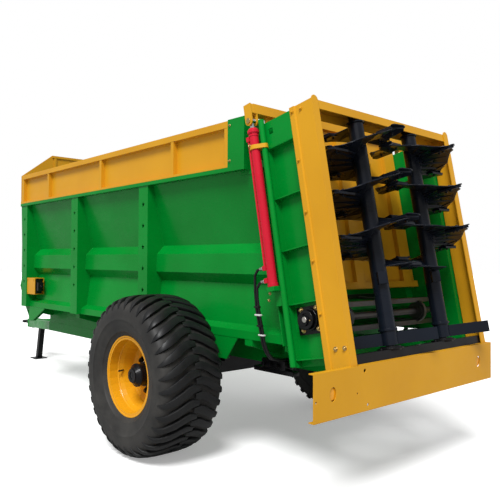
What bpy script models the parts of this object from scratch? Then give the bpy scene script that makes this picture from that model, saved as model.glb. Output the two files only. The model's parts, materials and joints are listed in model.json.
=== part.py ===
"""Towed manure spreader: single axle, hopper body, lifting rear gate and two upright beaters.

Metres, +X towards the hitch, +Y to the left, +Z up. The ground is z = 0, and the origin lies
under the middle of the overall length. Lengths along the machine are given from the axle.
"""

import bpy
import bmesh
import math
from mathutils import Matrix, Vector

# Driving dimensions -------------------------------------------------------------------------

GAP = 0.0003  # between pieces that touch
RUN_GAP = 0.0005  # round a pin, a rod or a spindle in its bore
SIDES = (("left", 1), ("right", -1))

HITCH_REACH = 5.44  # axle to the front of the tow eye
GUARD_REACH = 1.737  # axle to the back of the rear guard plate

# Wheels
WHEEL_RADIUS = 0.61
TYRE_WIDTH = 0.55
WHEEL_Y = 1.135  # middle of the tyre
RIM_RADIUS = 0.286
RIM_FLANGE = 0.305
RIM_HALF_WIDTH = 0.21
AXLE_SQUARE = 0.13
AXLE_HALF = 0.95  # half the square beam's length
SPINDLE_RADIUS = 0.04
WHEEL_STEPS = 32

# Hopper: the wall's section, from the sill up, as distances from the middle plane and heights
SHEET = 0.008
POST_FACE_Y = 0.84
RAIL_FACE_Y = 0.85
SILL_Z = 0.915
SILL_TOP_Z = 0.975
FLOOR_LINE_Z = 1.01
LEDGE_UNDER_Z = 1.31
LEDGE_LOW_Z = 1.385
LEDGE_HIGH_Z = 1.54
LEDGE_BACK_Z = 1.615
RAIL_LOW_Z = 2.145
RAIL_TOP_Z = 2.175
BODY_FRONT = 3.42  # axle to the front wall's inner face
FRONT_WALL = 0.03
POST_FRONT = 3.34  # axle to the middle of the first post
POST_PITCH = 1.36
POST_COUNT = 3
POST_WIDTH = 0.15
CORNER_BACK = 0.745  # axle to the back of the upright corner plate
CORNER_LENGTH = 0.185
CORNER_TOP_Z = 2.53
BOARD_TOP_Z = 2.522
BOARD_RAIL = 0.05
BOARD_RIB_FIRST = 2.645
BOARD_RIB_PITCH = 1.24
BOARD_RIB_COUNT = 3
GUARD_TOP_Z = 2.825
GUARD_TOP_HALF = 0.46

# Floor and conveyor
CONVEYOR_Z = 1.10
SPROCKET_RADIUS = 0.065
CHAIN_THICK = 0.02
LOOP_STEPS = 8  # sides of the loop round each sprocket
CHAIN_Y = 0.45
SLAT_HALF = 0.66
SLAT_PITCH = 0.52
SLAT_HIGH = 0.018
DECK_THICK = 0.03
SHAFT_REAR = 1.335  # axle back to the rear conveyor shaft
SHAFT_FRONT = 3.28  # axle forward to the front conveyor shaft
SHAFT_RADIUS = 0.025
COVER_BACK = 3.03

# Rear unit, leaning forward at the top; u runs forward and s up along the lean
LEAN = math.radians(11)
BEATER_REF_X = 1.483  # axle back to the beaters' axis plane, at this height
BEATER_REF_Z = 1.70
BEATER_Y = 0.33
BEATER_TUBE = 0.055
BEATER_LOW_S = -0.785
BEATER_HIGH_S = 0.775
STUB_RADIUS = 0.03
STUB_LENGTH = 0.05
FLIGHT_RADIUS = 0.27
FLIGHT_PITCH = 0.30
FLIGHT_TURNS = 3.4
FLIGHT_THICK = 0.008
FLIGHT_TOP_S = 0.76
BLADE_RADIUS = 0.37
BLADES_A_TURN = 4
BLADE_WIDTH = 0.10
BLADE_THICK = 0.016
PADDLE_RADIUS = 0.36
PADDLE_HIGH = 0.083
PADDLE_HALF = 0.006
PADDLE_ANGLE = {"left": math.radians(241.4), "right": math.radians(231.5)}
REAR_REACH = (  # axle to the tip of the right beater's rear paddle, the rearmost point
    BEATER_REF_X
    + math.cos(LEAN)
    * (
        PADDLE_RADIUS * -math.cos(PADDLE_ANGLE["right"])
        + PADDLE_HALF * abs(math.sin(PADDLE_ANGLE["right"]))
    )
    - math.sin(LEAN) * (BEATER_LOW_S + 0.001)
)
AXLE_X = (REAR_REACH - HITCH_REACH) / 2
PLATE_Y = 0.782  # inner face of the rear side plates
WALL_END_U = 0.48
FLANGE_U = 0.386
GUIDE_RADIUS = 0.021
FLANGE_LIP = 0.0045  # the side plate's front flange stands past the posts
GUIDE_Y = POST_FACE_Y + FLANGE_LIP + GAP + GUIDE_RADIUS
POST_STRIP_U = 0.1335
POST_WEB_U = 0.0876
STEP_U = 0.006  # the slanted step between a post's web and its front strip
POST_BACK_U = -0.061
POST_TOP_S = 0.84
POST_LOW_S = -0.917
SIDE_TOP_S = 0.86
SIDE_LOW_S = -0.855
RIB_TOP_S = 0.644
RIB_PITCH = 0.3615
RIB_COUNT = 5
BEAM_TOP_S = 0.855
BEAM_DEEP = 0.075
BASE_TOP_S = -0.81
BASE_LOW_S = -0.93
GUARD_PLATE_LEFT = 1.20
GUARD_PLATE_RIGHT = -0.87
GUARD_PLATE_LOW_Z = 0.58
GUARD_PLATE_TOP_Z = 0.858
GUARD_PLATE_FLANGE = 0.04
GUARD_PLATE_HOLES = (  # y, z, half width, half height
    (1.035, 0.724, 0.028, 0.042),
    (-0.665, 0.729, 0.028, 0.042),
    (0.81, 0.697, 0.007, 0.007),
    (0.74, 0.825, 0.012, 0.012),
    (0.708, 0.616, 0.010, 0.010),
    (1.18, 0.697, 0.008, 0.008),
)

# Gate and its cylinders
GATE_U = 0.4447
GATE_HALF = 0.77
GATE_LOW_S = -0.3515
CROSS_LOW_S = 0.905
CROSS_HIGH = 0.07
CYLINDER_Y = 0.90
CYLINDER_RADIUS = 0.032
ROD_RADIUS = 0.018
CYLINDER_LOW_S = -0.31
CYLINDER_HIGH_S = 0.76
FEED_U = 0.03  # the feed pipe's place beside its cylinder
FEED_Y = 0.026
FEED_RADIUS = 0.007
PORT_U = 0.043
GLAND_RADIUS = 0.038
GLAND_TOP_S = 0.80
EYE_S = 0.855
STRAP_S = 0.66

# Chassis, drawbar and parking leg
RAIL_Y = 0.44
RAIL_WIDE = 0.08
RAIL_LOW = 0.70
RAIL_HIGH = 0.86
RAIL_BACK = 1.40
BOLSTER_TOP = SILL_Z - GAP
LINE_SHAFT_Z = 0.74
SKIRT_Y = 0.786
SKIRT_LOW_Z = 0.745
DRAWBAR_BACK = 1.90
DRAWBAR_BEND = 3.40
DRAWBAR_FRONT = 5.02
DRAWBAR_DEEP = 0.11
HEAD_Z = 0.52
HEAD_FRONT = 5.12
LEG_X = 4.77
LEG_Z = 0.535
LEG_FOOT_X = 4.886
LEG_SQUARE = 0.07
LEG_PIN = 0.015

GREEN = (0.0, 0.27, 0.045)
YELLOW = (0.83, 0.46, 0.03)
RED = (0.55, 0.02, 0.04)
BLUE_BLACK = (0.025, 0.035, 0.055)
BLACK = (0.015, 0.015, 0.016)
STEEL = (0.45, 0.45, 0.44)

# Scene, materials and placing ---------------------------------------------------------------

for old in list(bpy.data.objects):
    bpy.data.objects.remove(old, do_unlink=True)

machine = bpy.data.collections.new("manure_spreader")
helpers = bpy.data.collections.new("helpers")
for group in (machine, helpers):
    bpy.context.scene.collection.children.link(group)

LEAN_FRAME = Matrix.Translation((AXLE_X - BEATER_REF_X, 0, BEATER_REF_Z)) @ Matrix.Rotation(
    LEAN, 4, "Y"
)


def painted(name, colour, roughness, metallic=0.0):
    made = bpy.data.materials.new(name)
    made.use_nodes = True
    shader = made.node_tree.nodes["Principled BSDF"]
    shader.inputs["Base Color"].default_value = (*colour, 1)
    shader.inputs["Roughness"].default_value = roughness
    shader.inputs["Metallic"].default_value = metallic
    made.diffuse_color = (*colour, 1)
    return made


def at(x, y, z):
    """A point given from the axle, in the machine's frame."""
    return Vector((AXLE_X + x, y, z))


def leaned(u, y, s):
    """A point of the leaning rear unit, in the machine's frame."""
    return LEAN_FRAME @ Vector((u, y, s))


def lean_s(z, u):
    """How far up the lean a height is, at u."""
    return (z - BEATER_REF_Z + u * math.sin(LEAN)) / math.cos(LEAN)


def mirrored(points, side):
    """Points (y, z) moved to the named side."""
    return [(y * side, z) for y, z in points]


# Shapes: each returns a mesh in the machine's frame ------------------------------------------


def mesh_of(work, matrix=None):
    if matrix is not None:
        work.transform(matrix)
    bmesh.ops.recalc_face_normals(work, faces=work.faces)
    if work.calc_volume(signed=True) < 0:
        bmesh.ops.reverse_faces(work, faces=work.faces)
    mesh = bpy.data.meshes.new("shape")
    work.to_mesh(mesh)
    work.free()
    return mesh


def slab(x0, x1, y0, y1, z0, z1, frame=None):
    """A box between two corners; with a frame, the corners are in it."""
    size = Matrix.Diagonal((abs(x1 - x0), abs(y1 - y0), abs(z1 - z0), 1))
    middle = Matrix.Translation(((x0 + x1) / 2, (y0 + y1) / 2, (z0 + z1) / 2))
    work = bmesh.new()
    bmesh.ops.create_cube(work, size=1, matrix=middle @ size)
    return mesh_of(work, frame or Matrix.Translation((AXLE_X, 0, 0)))


def lean_slab(u0, u1, y0, y1, s0, s1):
    return slab(u0, u1, y0, y1, s0, s1, LEAN_FRAME)


def aimed(start, end):
    """A frame at start whose Z runs to end."""
    along = Vector(end) - Vector(start)
    return Matrix.Translation(start) @ along.to_track_quat("Z", "Y").to_matrix().to_4x4()


def bar(start, end, radius, sides=24):
    """A round bar between two points."""
    length = (Vector(end) - Vector(start)).length
    work = bmesh.new()
    bmesh.ops.create_cone(
        work, cap_ends=True, segments=sides, radius1=radius, radius2=radius, depth=length
    )
    return mesh_of(work, aimed(start, end) @ Matrix.Translation((0, 0, length / 2)))


def beam(start, end, wide, deep):
    """A box beam between two points, level across."""
    start, end = Vector(start), Vector(end)
    along = (end - start).normalized()
    across = Vector((0, 0, 1)).cross(along).normalized()
    over = along.cross(across)
    turn = Matrix((along, across, over)).transposed().to_4x4()
    length = (end - start).length
    frame = Matrix.Translation(start) @ turn
    return slab(0, length, -wide / 2, wide / 2, -deep / 2, deep / 2, frame)


def evaluated_mesh(obj):
    bpy.context.view_layer.update()
    graph = bpy.context.evaluated_depsgraph_get()
    mesh = bpy.data.meshes.new_from_object(obj.evaluated_get(graph))
    bpy.data.objects.remove(obj, do_unlink=True)
    return mesh


def welded(mesh, matrix):
    work = bmesh.new()
    work.from_mesh(mesh)
    bmesh.ops.remove_doubles(work, verts=work.verts, dist=1e-6)
    return mesh_of(work, matrix)


def outline(points, thick, frame):
    """A flat plate: the outline lies in the frame's XY, its thickness centred on it."""
    curve = bpy.data.curves.new("outline", "CURVE")
    curve.dimensions = "2D"
    curve.fill_mode = "BOTH"
    curve.extrude = thick / 2
    spline = curve.splines.new("POLY")
    spline.points.add(len(points) - 1)
    for point, (x, y) in zip(spline.points, points):
        point.co = (x, y, 0, 1)
    spline.use_cyclic_u = True
    obj = bpy.data.objects.new("outline", curve)
    helpers.objects.link(obj)
    return welded(evaluated_mesh(obj), frame)


def across_frame(x):
    """Outline (y, z) in the upright plane at x from the axle; thickness along X."""
    turn = Matrix(((0, 0, 1), (1, 0, 0), (0, 1, 0))).to_4x4()
    return Matrix.Translation(at(x, 0, 0)) @ turn


def lean_across_frame(u):
    """Outline (y, s) in the rear unit's plane at u; thickness along u."""
    turn = Matrix(((0, 0, 1), (1, 0, 0), (0, 1, 0))).to_4x4()
    return LEAN_FRAME @ Matrix.Translation((u, 0, 0)) @ turn


def side_frame(y):
    """Outline (x, z) in the plane at y, x from the axle; thickness along Y."""
    turn = Matrix(((1, 0, 0), (0, 0, -1), (0, 1, 0))).to_4x4()
    return Matrix.Translation(at(0, y, 0)) @ turn


def lean_side_frame(y):
    """Outline (u, s) in the rear unit at y; thickness along Y."""
    turn = Matrix(((1, 0, 0), (0, 0, -1), (0, 1, 0))).to_4x4()
    return LEAN_FRAME @ Matrix.Translation((0, y, 0)) @ turn


def turned(profile, frame, steps=48):
    """A turned shape: the profile (radius, height) closes on itself or ends on the axis."""
    work = bmesh.new()
    verts = [work.verts.new((r, 0, h)) for r, h in profile]
    closed = min(r for r, _ in profile) > 0
    for first, second in zip(verts, verts[1:] + (verts[:1] if closed else [])):
        work.edges.new((first, second))
    mesh = bpy.data.meshes.new("profile")
    work.to_mesh(mesh)
    work.free()
    obj = bpy.data.objects.new("profile", mesh)
    helpers.objects.link(obj)
    screw = obj.modifiers.new("turn", "SCREW")
    screw.steps = screw.render_steps = steps
    screw.use_merge_vertices = True
    screw.merge_threshold = 1e-5
    return welded(evaluated_mesh(obj), frame)


def wire(points, radius, sides=2):
    """A round hose or wire along a smooth curve through its points."""
    curve = bpy.data.curves.new("wire", "CURVE")
    curve.dimensions = "3D"
    curve.bevel_depth = radius
    curve.bevel_resolution = sides
    curve.use_fill_caps = True
    smooth = smoothed(points)
    spline = curve.splines.new("POLY")
    spline.points.add(len(smooth) - 1)
    for point, place in zip(spline.points, smooth):
        point.co = (*place, 1)
    obj = bpy.data.objects.new("wire", curve)
    helpers.objects.link(obj)
    return welded(evaluated_mesh(obj), Matrix.Identity(4))


def smoothed(points, steps=2):
    """Points of a Catmull-Rom curve through the given ones."""
    points = [Vector(p) for p in points]
    ends = [points[0] * 2 - points[1], *points, points[-1] * 2 - points[-2]]
    found = []
    for a, b, c, d in zip(ends, ends[1:], ends[2:], ends[3:]):
        for step in range(steps):
            t = step / steps
            found.append(
                0.5 * (2 * b + (c - a) * t + (2 * a - 5 * b + 4 * c - d) * t**2
                       + (3 * b - a - 3 * c + d) * t**3)
            )
    return [*found, points[-1]]


def together(*meshes):
    """Shapes that don't touch one another, as one mesh."""
    work = bmesh.new()
    for mesh in meshes:
        work.from_mesh(mesh)
    return mesh_of(work)


# Nodes --------------------------------------------------------------------------------------


def helper(mesh, name):
    obj = bpy.data.objects.new(name, mesh)
    helpers.objects.link(obj)
    obj.hide_render = True
    obj.display_type = "WIRE"
    return obj


def node(name, material, shapes, cuts=(), pivot=None):
    """One named piece: its first shape, joined with the others, less the cuts."""
    obj = bpy.data.objects.new(name, shapes[0])
    machine.objects.link(obj)
    obj.data.materials.clear()
    obj.data.materials.append(material)
    steps = [("UNION", shape) for shape in shapes[1:]] + [("DIFFERENCE", cut) for cut in cuts]
    for count, (operation, mesh) in enumerate(steps):
        other = helper(mesh, f"{name}_{operation.lower()}_{count}")
        step = obj.modifiers.new(other.name, "BOOLEAN")
        step.operation = operation
        step.object = other
    if pivot is not None:
        obj.parent = pivot
        obj.matrix_parent_inverse = pivot.matrix_basis.inverted()
    return obj


def pivot_at(name, place, turn=0.0):
    """An empty on a joint's axis."""
    empty = bpy.data.objects.new(name, None)
    empty.location = place
    empty.rotation_euler = (0, turn, 0)
    empty.matrix_basis = Matrix.Translation(place) @ Matrix.Rotation(turn, 4, "Y")
    machine.objects.link(empty)
    return empty


green = painted("green_paint", GREEN, 0.4)
yellow = painted("yellow_paint", YELLOW, 0.4)
red = painted("red_paint", RED, 0.35)
blue_black = painted("beater_paint", BLUE_BLACK, 0.45)
black = painted("black_paint", BLACK, 0.5)
steel = painted("bright_steel", STEEL, 0.3, 1.0)
tyre_rubber = painted("tyre_rubber", BLACK, 0.85)
hose_rubber = painted("hose_rubber", BLACK, 0.6)

# Hopper -------------------------------------------------------------------------------------

WALL_OUTER = (
    (0.792, SILL_Z),
    (0.788, SILL_TOP_Z),
    (0.725, FLOOR_LINE_Z),
    (0.68, LEDGE_UNDER_Z),
    (0.745, LEDGE_LOW_Z),
    (0.738, LEDGE_HIGH_Z),
    (0.665, LEDGE_BACK_Z),
    (0.79, RAIL_LOW_Z),
)


def wall_y(z):
    """Outer face of the wall at a height."""
    for (y0, z0), (y1, z1) in zip(WALL_OUTER, WALL_OUTER[1:]):
        if z0 <= z <= z1:
            return y0 + (y1 - y0) * (z - z0) / (z1 - z0)
    return WALL_OUTER[-1][0]


def star(radius):
    """A five-pointed star outline."""
    return [
        (
            radius * (1 if k % 2 == 0 else 0.45) * math.sin(k * math.pi / 5),
            radius * (1 if k % 2 == 0 else 0.45) * math.cos(k * math.pi / 5),
        )
        for k in range(10)
    ]


def side_wall(label, side):
    back = -1.35
    section = list(WALL_OUTER) + [
        (RAIL_FACE_Y, RAIL_LOW_Z),
        (RAIL_FACE_Y, RAIL_TOP_Z),
        (0.79 - SHEET, RAIL_TOP_Z),
    ]
    section += [(WALL_OUTER[-1][0] - SHEET, RAIL_LOW_Z + 0.004)]
    section += [(y - SHEET, z) for y, z in reversed(WALL_OUTER[:-1])]
    length = BODY_FRONT - GAP - back
    sheet = outline(mirrored(section, side), length, across_frame(back + length / 2))

    box = [(y - SHEET / 2, z) for y, z in WALL_OUTER[:-1]]
    box += [(WALL_OUTER[-1][0] - SHEET / 2, RAIL_LOW_Z + 0.003)]
    box += [(POST_FACE_Y, RAIL_LOW_Z + 0.003), (POST_FACE_Y, SILL_Z)]
    hollow = [(y + 0.0005, z) for y, z in WALL_OUTER[:-1]]
    hollow += [(WALL_OUTER[-1][0], RAIL_LOW_Z - 0.003)]
    hollow += [(POST_FACE_Y - SHEET, RAIL_LOW_Z - 0.003), (POST_FACE_Y - SHEET, SILL_Z - 0.05)]
    hollow[0] = (hollow[0][0], SILL_Z - 0.05)
    posts = []
    cuts = []
    for count in range(POST_COUNT):
        x = POST_FRONT - POST_PITCH * count
        posts.append(outline(mirrored(box, side), POST_WIDTH, across_frame(x)))
        cuts.append(outline(mirrored(hollow, side), POST_WIDTH - 2 * SHEET, across_frame(x)))
        for row in range(5):
            place = at(x, side * POST_FACE_Y, 1.22 + 0.19 * row)
            turn = Matrix(((1, 0, 0), (0, 0, -1), (0, 1, 0))).to_4x4()
            cuts.append(outline(star(0.026), 0.03, Matrix.Translation(place) @ turn))

    end_top = lean_s(CORNER_TOP_Z, WALL_END_U)
    flank = [(y - SHEET / 2, lean_s(z, WALL_END_U)) for y, z in WALL_OUTER[:-1]]
    flank[0] = (flank[0][0], flank[0][1] - 0.03)
    flank += [(WALL_OUTER[-1][0] - SHEET / 2, end_top), (POST_FACE_Y, end_top)]
    flank += [(POST_FACE_Y, flank[0][1])]
    end_plate = outline(
        mirrored(flank, side), SHEET, lean_across_frame(WALL_END_U + SHEET / 2 + 0.001)
    )
    upper = slab(
        -1.2, -CORNER_BACK + 0.1, side * (0.7903 - SHEET), side * 0.7897, RAIL_LOW_Z - 0.03,
        CORNER_TOP_Z - 0.045,
    )
    corner = slab(
        -CORNER_BACK, -CORNER_BACK + CORNER_LENGTH - GAP,
        side * (RAIL_FACE_Y - SHEET), side * (RAIL_FACE_Y - 0.0004), RAIL_LOW_Z + 0.004,
        CORNER_TOP_Z,
    )
    corner_return = slab(
        -CORNER_BACK + 0.0006, -CORNER_BACK + SHEET,
        side * (0.79 - SHEET / 2), side * (RAIL_FACE_Y - 0.002), RAIL_LOW_Z + 0.008,
        CORNER_TOP_Z - 0.0006,
    )
    behind = lean_slab(
        WALL_END_U - 1.5, WALL_END_U, side * 0.55, side * 0.95, BASE_LOW_S - 0.2, 1.2
    )
    rail_back = slab(
        -1.6, -CORNER_BACK - 0.0006, side * 0.7905, side * 0.9, RAIL_LOW_Z - 0.0006,
        RAIL_TOP_Z + 0.02,
    )
    under = slab(-1.6, BODY_FRONT, side * 0.6, side * 0.9, SILL_Z - 0.2, SILL_Z + 0.0002)
    over = slab(
        -1.6, -CORNER_BACK - 0.001, side * 0.6, side * 0.9, CORNER_TOP_Z - 0.0452, 2.7
    )
    return node(
        f"side_wall_{label}",
        green,
        [sheet, *posts, upper, corner, corner_return, end_plate],
        [behind, rail_back, under, over, *cuts],
    )


def extension_board(label, side):
    low = RAIL_TOP_Z + GAP
    back = -CORNER_BACK + CORNER_LENGTH
    front = BODY_FRONT - GAP
    inner, outer = side * 0.80, side * RAIL_FACE_Y
    ribs = [
        slab(x - 0.02, x + 0.02, side * 0.801, side * (RAIL_FACE_Y - 0.002),
             low + 0.01, BOARD_TOP_Z - 0.01)
        for x in [BOARD_RIB_FIRST - BOARD_RIB_PITCH * k for k in range(BOARD_RIB_COUNT)]
    ]
    board = slab(back, front, inner, side * 0.808, low, BOARD_TOP_Z)
    top = slab(back + 0.001, front - 0.001, side * 0.799, outer, BOARD_TOP_Z - BOARD_RAIL,
               BOARD_TOP_Z + 0.0005)
    foot = slab(back + 0.001, front - 0.001, side * 0.8015, side * (RAIL_FACE_Y - 0.0005),
                low + 0.0005, low + 0.02)
    ends = together(
        slab(back + 0.0005, back + 0.04, side * 0.8005, side * (RAIL_FACE_Y - 0.001),
             low + 0.001, BOARD_TOP_Z - 0.001),
        slab(front - 0.06, front - 0.0005, side * 0.8005, side * (RAIL_FACE_Y - 0.001),
             low + 0.001, BOARD_TOP_Z - 0.001),
    )
    return node(f"extension_board_{label}", yellow, [board, top, foot, ends, together(*ribs)])


def front_wall():
    half = (
        (RAIL_FACE_Y, RAIL_TOP_Z),
        (RAIL_FACE_Y, RAIL_LOW_Z),
        (0.838, 2.14),
        (0.817, 1.283),
        (0.843, 1.165),
        (0.786, 0.943),
        (0.711, 0.724),
        (0.656, 0.72),
        (0.49, 0.863),
    )
    points = [*half, *[(-y, z) for y, z in reversed(half)]]
    wall = outline(points, FRONT_WALL, across_frame(BODY_FRONT + FRONT_WALL / 2))
    ribs = [
        slab(BODY_FRONT + FRONT_WALL - 0.002, BODY_FRONT + FRONT_WALL + 0.04, y - 0.03, y + 0.03,
             0.9, 2.13)
        for y in (-0.42, 0.0, 0.42)
    ]
    ledge = slab(BODY_FRONT + FRONT_WALL - 0.001, BODY_FRONT + FRONT_WALL + 0.035, -0.8, 0.8,
                 1.4, 1.52)
    return node("front_wall", green, [wall, together(*ribs), ledge])


def front_guard():
    low = RAIL_TOP_Z + GAP
    half = ((GUARD_TOP_HALF, GUARD_TOP_Z), (RAIL_FACE_Y, BOARD_TOP_Z), (RAIL_FACE_Y, low))
    points = [*half, *[(-y, z) for y, z in reversed(half)]]
    sheet = outline(points, 0.006, across_frame(BODY_FRONT + 0.015))
    frame = [
        beam(at(BODY_FRONT + 0.015, -GUARD_TOP_HALF, GUARD_TOP_Z - 0.016),
             at(BODY_FRONT + 0.015, GUARD_TOP_HALF, GUARD_TOP_Z - 0.016), 0.028, 0.03),
        slab(BODY_FRONT + 0.001, BODY_FRONT + 0.029, -RAIL_FACE_Y + 0.001, RAIL_FACE_Y - 0.001,
             low + 0.0005, low + 0.03),
    ]
    uprights = together(*[
        slab(BODY_FRONT + 0.002, BODY_FRONT + 0.028, y - 0.015, y + 0.015, low + 0.01,
             GUARD_TOP_Z - 0.01)
        for y in (-0.42, 0, 0.42)
    ])
    return node("front_guard", yellow, [sheet, *frame, uprights])


def deck():
    top = CONVEYOR_Z + SPROCKET_RADIUS - 0.005
    half = wall_y(top - DECK_THICK / 2) - SHEET - 0.0028
    return node(
        "floor_deck",
        green,
        [slab(-SHAFT_REAR + 0.1, SHAFT_FRONT - 0.1, -half, half, top - DECK_THICK, top)],
    )


def loop_outline(radius):
    """The conveyor's path at a radius round its two shafts, as (x, z)."""
    points = []
    for centre, start in ((SHAFT_FRONT, 90), (-SHAFT_REAR, 270)):
        for step in range(LOOP_STEPS + 1):
            angle = math.radians(start - 180 * step / LOOP_STEPS)
            points.append(
                (centre + radius * math.cos(angle), CONVEYOR_Z + radius * math.sin(angle))
            )
    return points


def conveyor():
    inner = SPROCKET_RADIUS
    outer = SPROCKET_RADIUS + CHAIN_THICK
    chains = []
    for side in (1, -1):
        chains.append((side_frame(side * CHAIN_Y), side))
    shapes = [together(*[outline(loop_outline(outer), 0.03, frame) for frame, _ in chains])]
    count = int((SHAFT_FRONT + SHAFT_REAR) / SLAT_PITCH)
    slats = []
    for step in range(count + 1):
        x = -SHAFT_REAR + (SHAFT_FRONT + SHAFT_REAR) * step / count
        for turn in (1, -1):
            near = CONVEYOR_Z + turn * (inner + 0.003)
            far = CONVEYOR_Z + turn * (outer + SLAT_HIGH)
            slats.append(slab(x - 0.02, x + 0.02, -SLAT_HALF, SLAT_HALF, near, far))
    holes = together(*[outline(loop_outline(inner), 0.05, frame) for frame, _ in chains])
    return node("floor_conveyor", steel_dark, [shapes[0], together(*slats)], [holes])


def conveyor_shaft(label, x, half):
    axis = Matrix.Translation(at(x, 0, CONVEYOR_Z)) @ Matrix.Rotation(-math.pi / 2, 4, "X")
    rim = SPROCKET_RADIUS * math.cos(math.pi / 2 / LOOP_STEPS) - RUN_GAP
    discs = together(*[
        turned([(0, y - 0.02), (rim, y - 0.02), (rim, y + 0.02), (0, y + 0.02)][::-1], axis, 32)
        for y in (-CHAIN_Y, CHAIN_Y)
    ])
    rod = bar(at(x, -half, CONVEYOR_Z), at(x, half, CONVEYOR_Z), SHAFT_RADIUS)
    return node(f"conveyor_shaft_{label}", steel, [rod, discs])


def shaft_bearing(label, side):
    y0 = side * (PLATE_Y + SHEET + GAP)
    centre = leaned(*rear_shaft_local())
    u, s = rear_shaft_local()[0], rear_shaft_local()[2]
    flange = lean_slab(u - 0.09, u + 0.09, y0, y0 + side * 0.018, s - 0.09, s + 0.09)
    start = Vector((centre.x, y0 + side * 0.005, centre.z))
    end = Vector((centre.x, y0 + side * 0.055, centre.z))
    cap = bar(start, end, 0.06, 32)
    nose = bar(start, end + Vector((0, side * 0.012, 0)), 0.035, 32)
    return node(f"shaft_bearing_{label}", black, [flange, cap, nose])


def rear_shaft_local():
    """The rear conveyor shaft in the rear unit's frame."""
    return LEAN_FRAME.inverted() @ at(-SHAFT_REAR, 0, CONVEYOR_Z)


def tensioner_cover(label, side):
    y = wall_y(1.165)
    front = POST_FRONT - POST_WIDTH / 2 - GAP
    shell = slab(COVER_BACK, front, side * (y + 0.016), side * 0.83, 1.07, 1.265)
    hollow = slab(COVER_BACK - 0.1, front - 0.006, side * (y + 0.022), side * 0.824, 1.076, 1.259)
    return node(f"tensioner_cover_{label}", yellow, [shell], [hollow])


# Chassis, axle, drawbar ---------------------------------------------------------------------


def chassis():
    rails = [
        slab(-RAIL_BACK, BODY_FRONT - 0.03, side * (RAIL_Y - RAIL_WIDE / 2), side * (RAIL_Y + RAIL_WIDE / 2),
             RAIL_LOW, RAIL_HIGH)
        for side in (1, -1)
    ]
    bolsters = []
    ends = [(POST_FRONT - POST_PITCH * k, 0.79) for k in range(POST_COUNT + 1)]
    for x, end in [*ends, (-1.14, PLATE_Y - GAP)]:
        half = ((end, BOLSTER_TOP), (end, 0.87), (0.52, 0.79))
        points = [*half, *[(-y, z) for y, z in reversed(half)]]
        bolsters.append(outline(points, 0.08, across_frame(x)))
    carrier = slab(3.306, 3.37, -0.06, 0.06, LINE_SHAFT_Z - 0.06, 0.81)
    carrier_cut = bar(at(3.2, 0, LINE_SHAFT_Z), at(3.5, 0, LINE_SHAFT_Z), 0.025 + RUN_GAP)
    blocks = together(*[
        slab(-1.0, -0.86, side * 0.475, side * 0.55, 0.73, 0.83) for side in (1, -1)
    ])
    return node(
        "chassis", green, [rails[0], *bolsters, rails[1], carrier, blocks], [carrier_cut]
    )


def wheel_skirt(label, side):
    """The plate that hangs from the sill over the axle, between two cross members."""
    middle = POST_FRONT - POST_PITCH * 2 - 0.04 - GAP
    back = -middle - 0.04
    points = [
        (middle, SILL_Z - GAP),
        (middle, 0.80),
        (middle - 0.10, SKIRT_LOW_Z),
        (back + 0.13, SKIRT_LOW_Z),
        (back, SILL_Z - GAP),
    ]
    plate = outline(points, SHEET, side_frame(side * SKIRT_Y))
    foot = slab(back + 0.14, middle - 0.11, side * (SKIRT_Y - 0.04), side * (SKIRT_Y + 0.0035),
                SKIRT_LOW_Z + 0.0005, SKIRT_LOW_Z + SHEET)
    return node(f"wheel_skirt_{label}", green, [plate, foot])


def front_gusset(label, side):
    """The plate that stiffens the sill's front corner."""
    back = POST_FRONT - 0.04 - GAP
    points = [(back, SILL_Z - GAP), (back, 0.75), (3.18, 0.75), (2.85, SILL_Z - 0.012),
              (2.85, SILL_Z - GAP)]
    plate = outline(points, SHEET, side_frame(side * SKIRT_Y))
    return node(f"front_gusset_{label}", green, [plate])


def axle():
    half = AXLE_SQUARE / 2
    z = WHEEL_RADIUS
    square = slab(-half, half, -AXLE_HALF, AXLE_HALF, z - half, z + half)
    pads = together(*[
        slab(-0.11, 0.11, side * (RAIL_Y - 0.05), side * (RAIL_Y + 0.05), z + half - 0.03,
             RAIL_LOW - GAP)
        for side in (1, -1)
    ])
    spindles = [
        bar(at(0, side * (AXLE_HALF - 0.02), z), at(0, side * (WHEEL_Y + 0.10), z),
            SPINDLE_RADIUS, 48)
        for side in (1, -1)
    ]
    return node("axle_beam", black, [square, pads, *spindles])


def drawbar():
    low = RAIL_LOW - GAP - DRAWBAR_DEEP
    middle = low + DRAWBAR_DEEP / 2
    sides = []
    for side in (1, -1):
        sides.append(slab(DRAWBAR_BACK, DRAWBAR_BEND + 0.02, side * (RAIL_Y - 0.04),
                          side * (RAIL_Y + 0.04), low, low + DRAWBAR_DEEP))
        sides.append(beam(at(DRAWBAR_BEND - 0.02, side * RAIL_Y, middle),
                          at(DRAWBAR_FRONT, side * 0.06, HEAD_Z), 0.078, DRAWBAR_DEEP - 0.004))
    head = slab(4.9, HEAD_FRONT, -0.085, 0.085, HEAD_Z - 0.06, HEAD_Z + 0.06)
    ties = [
        slab(x - 0.04, x + 0.04, -RAIL_Y, RAIL_Y, low + 0.01, low + 0.09)
        for x in (DRAWBAR_BACK + 0.06, DRAWBAR_BEND - 0.05)
    ]
    pin = bar(at(LEG_X, -0.15, LEG_Z), at(LEG_X, 0.15, LEG_Z), LEG_PIN)
    return node("drawbar", green, [sides[0], ties[0], ties[1], *sides[1:], head, pin])


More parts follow.
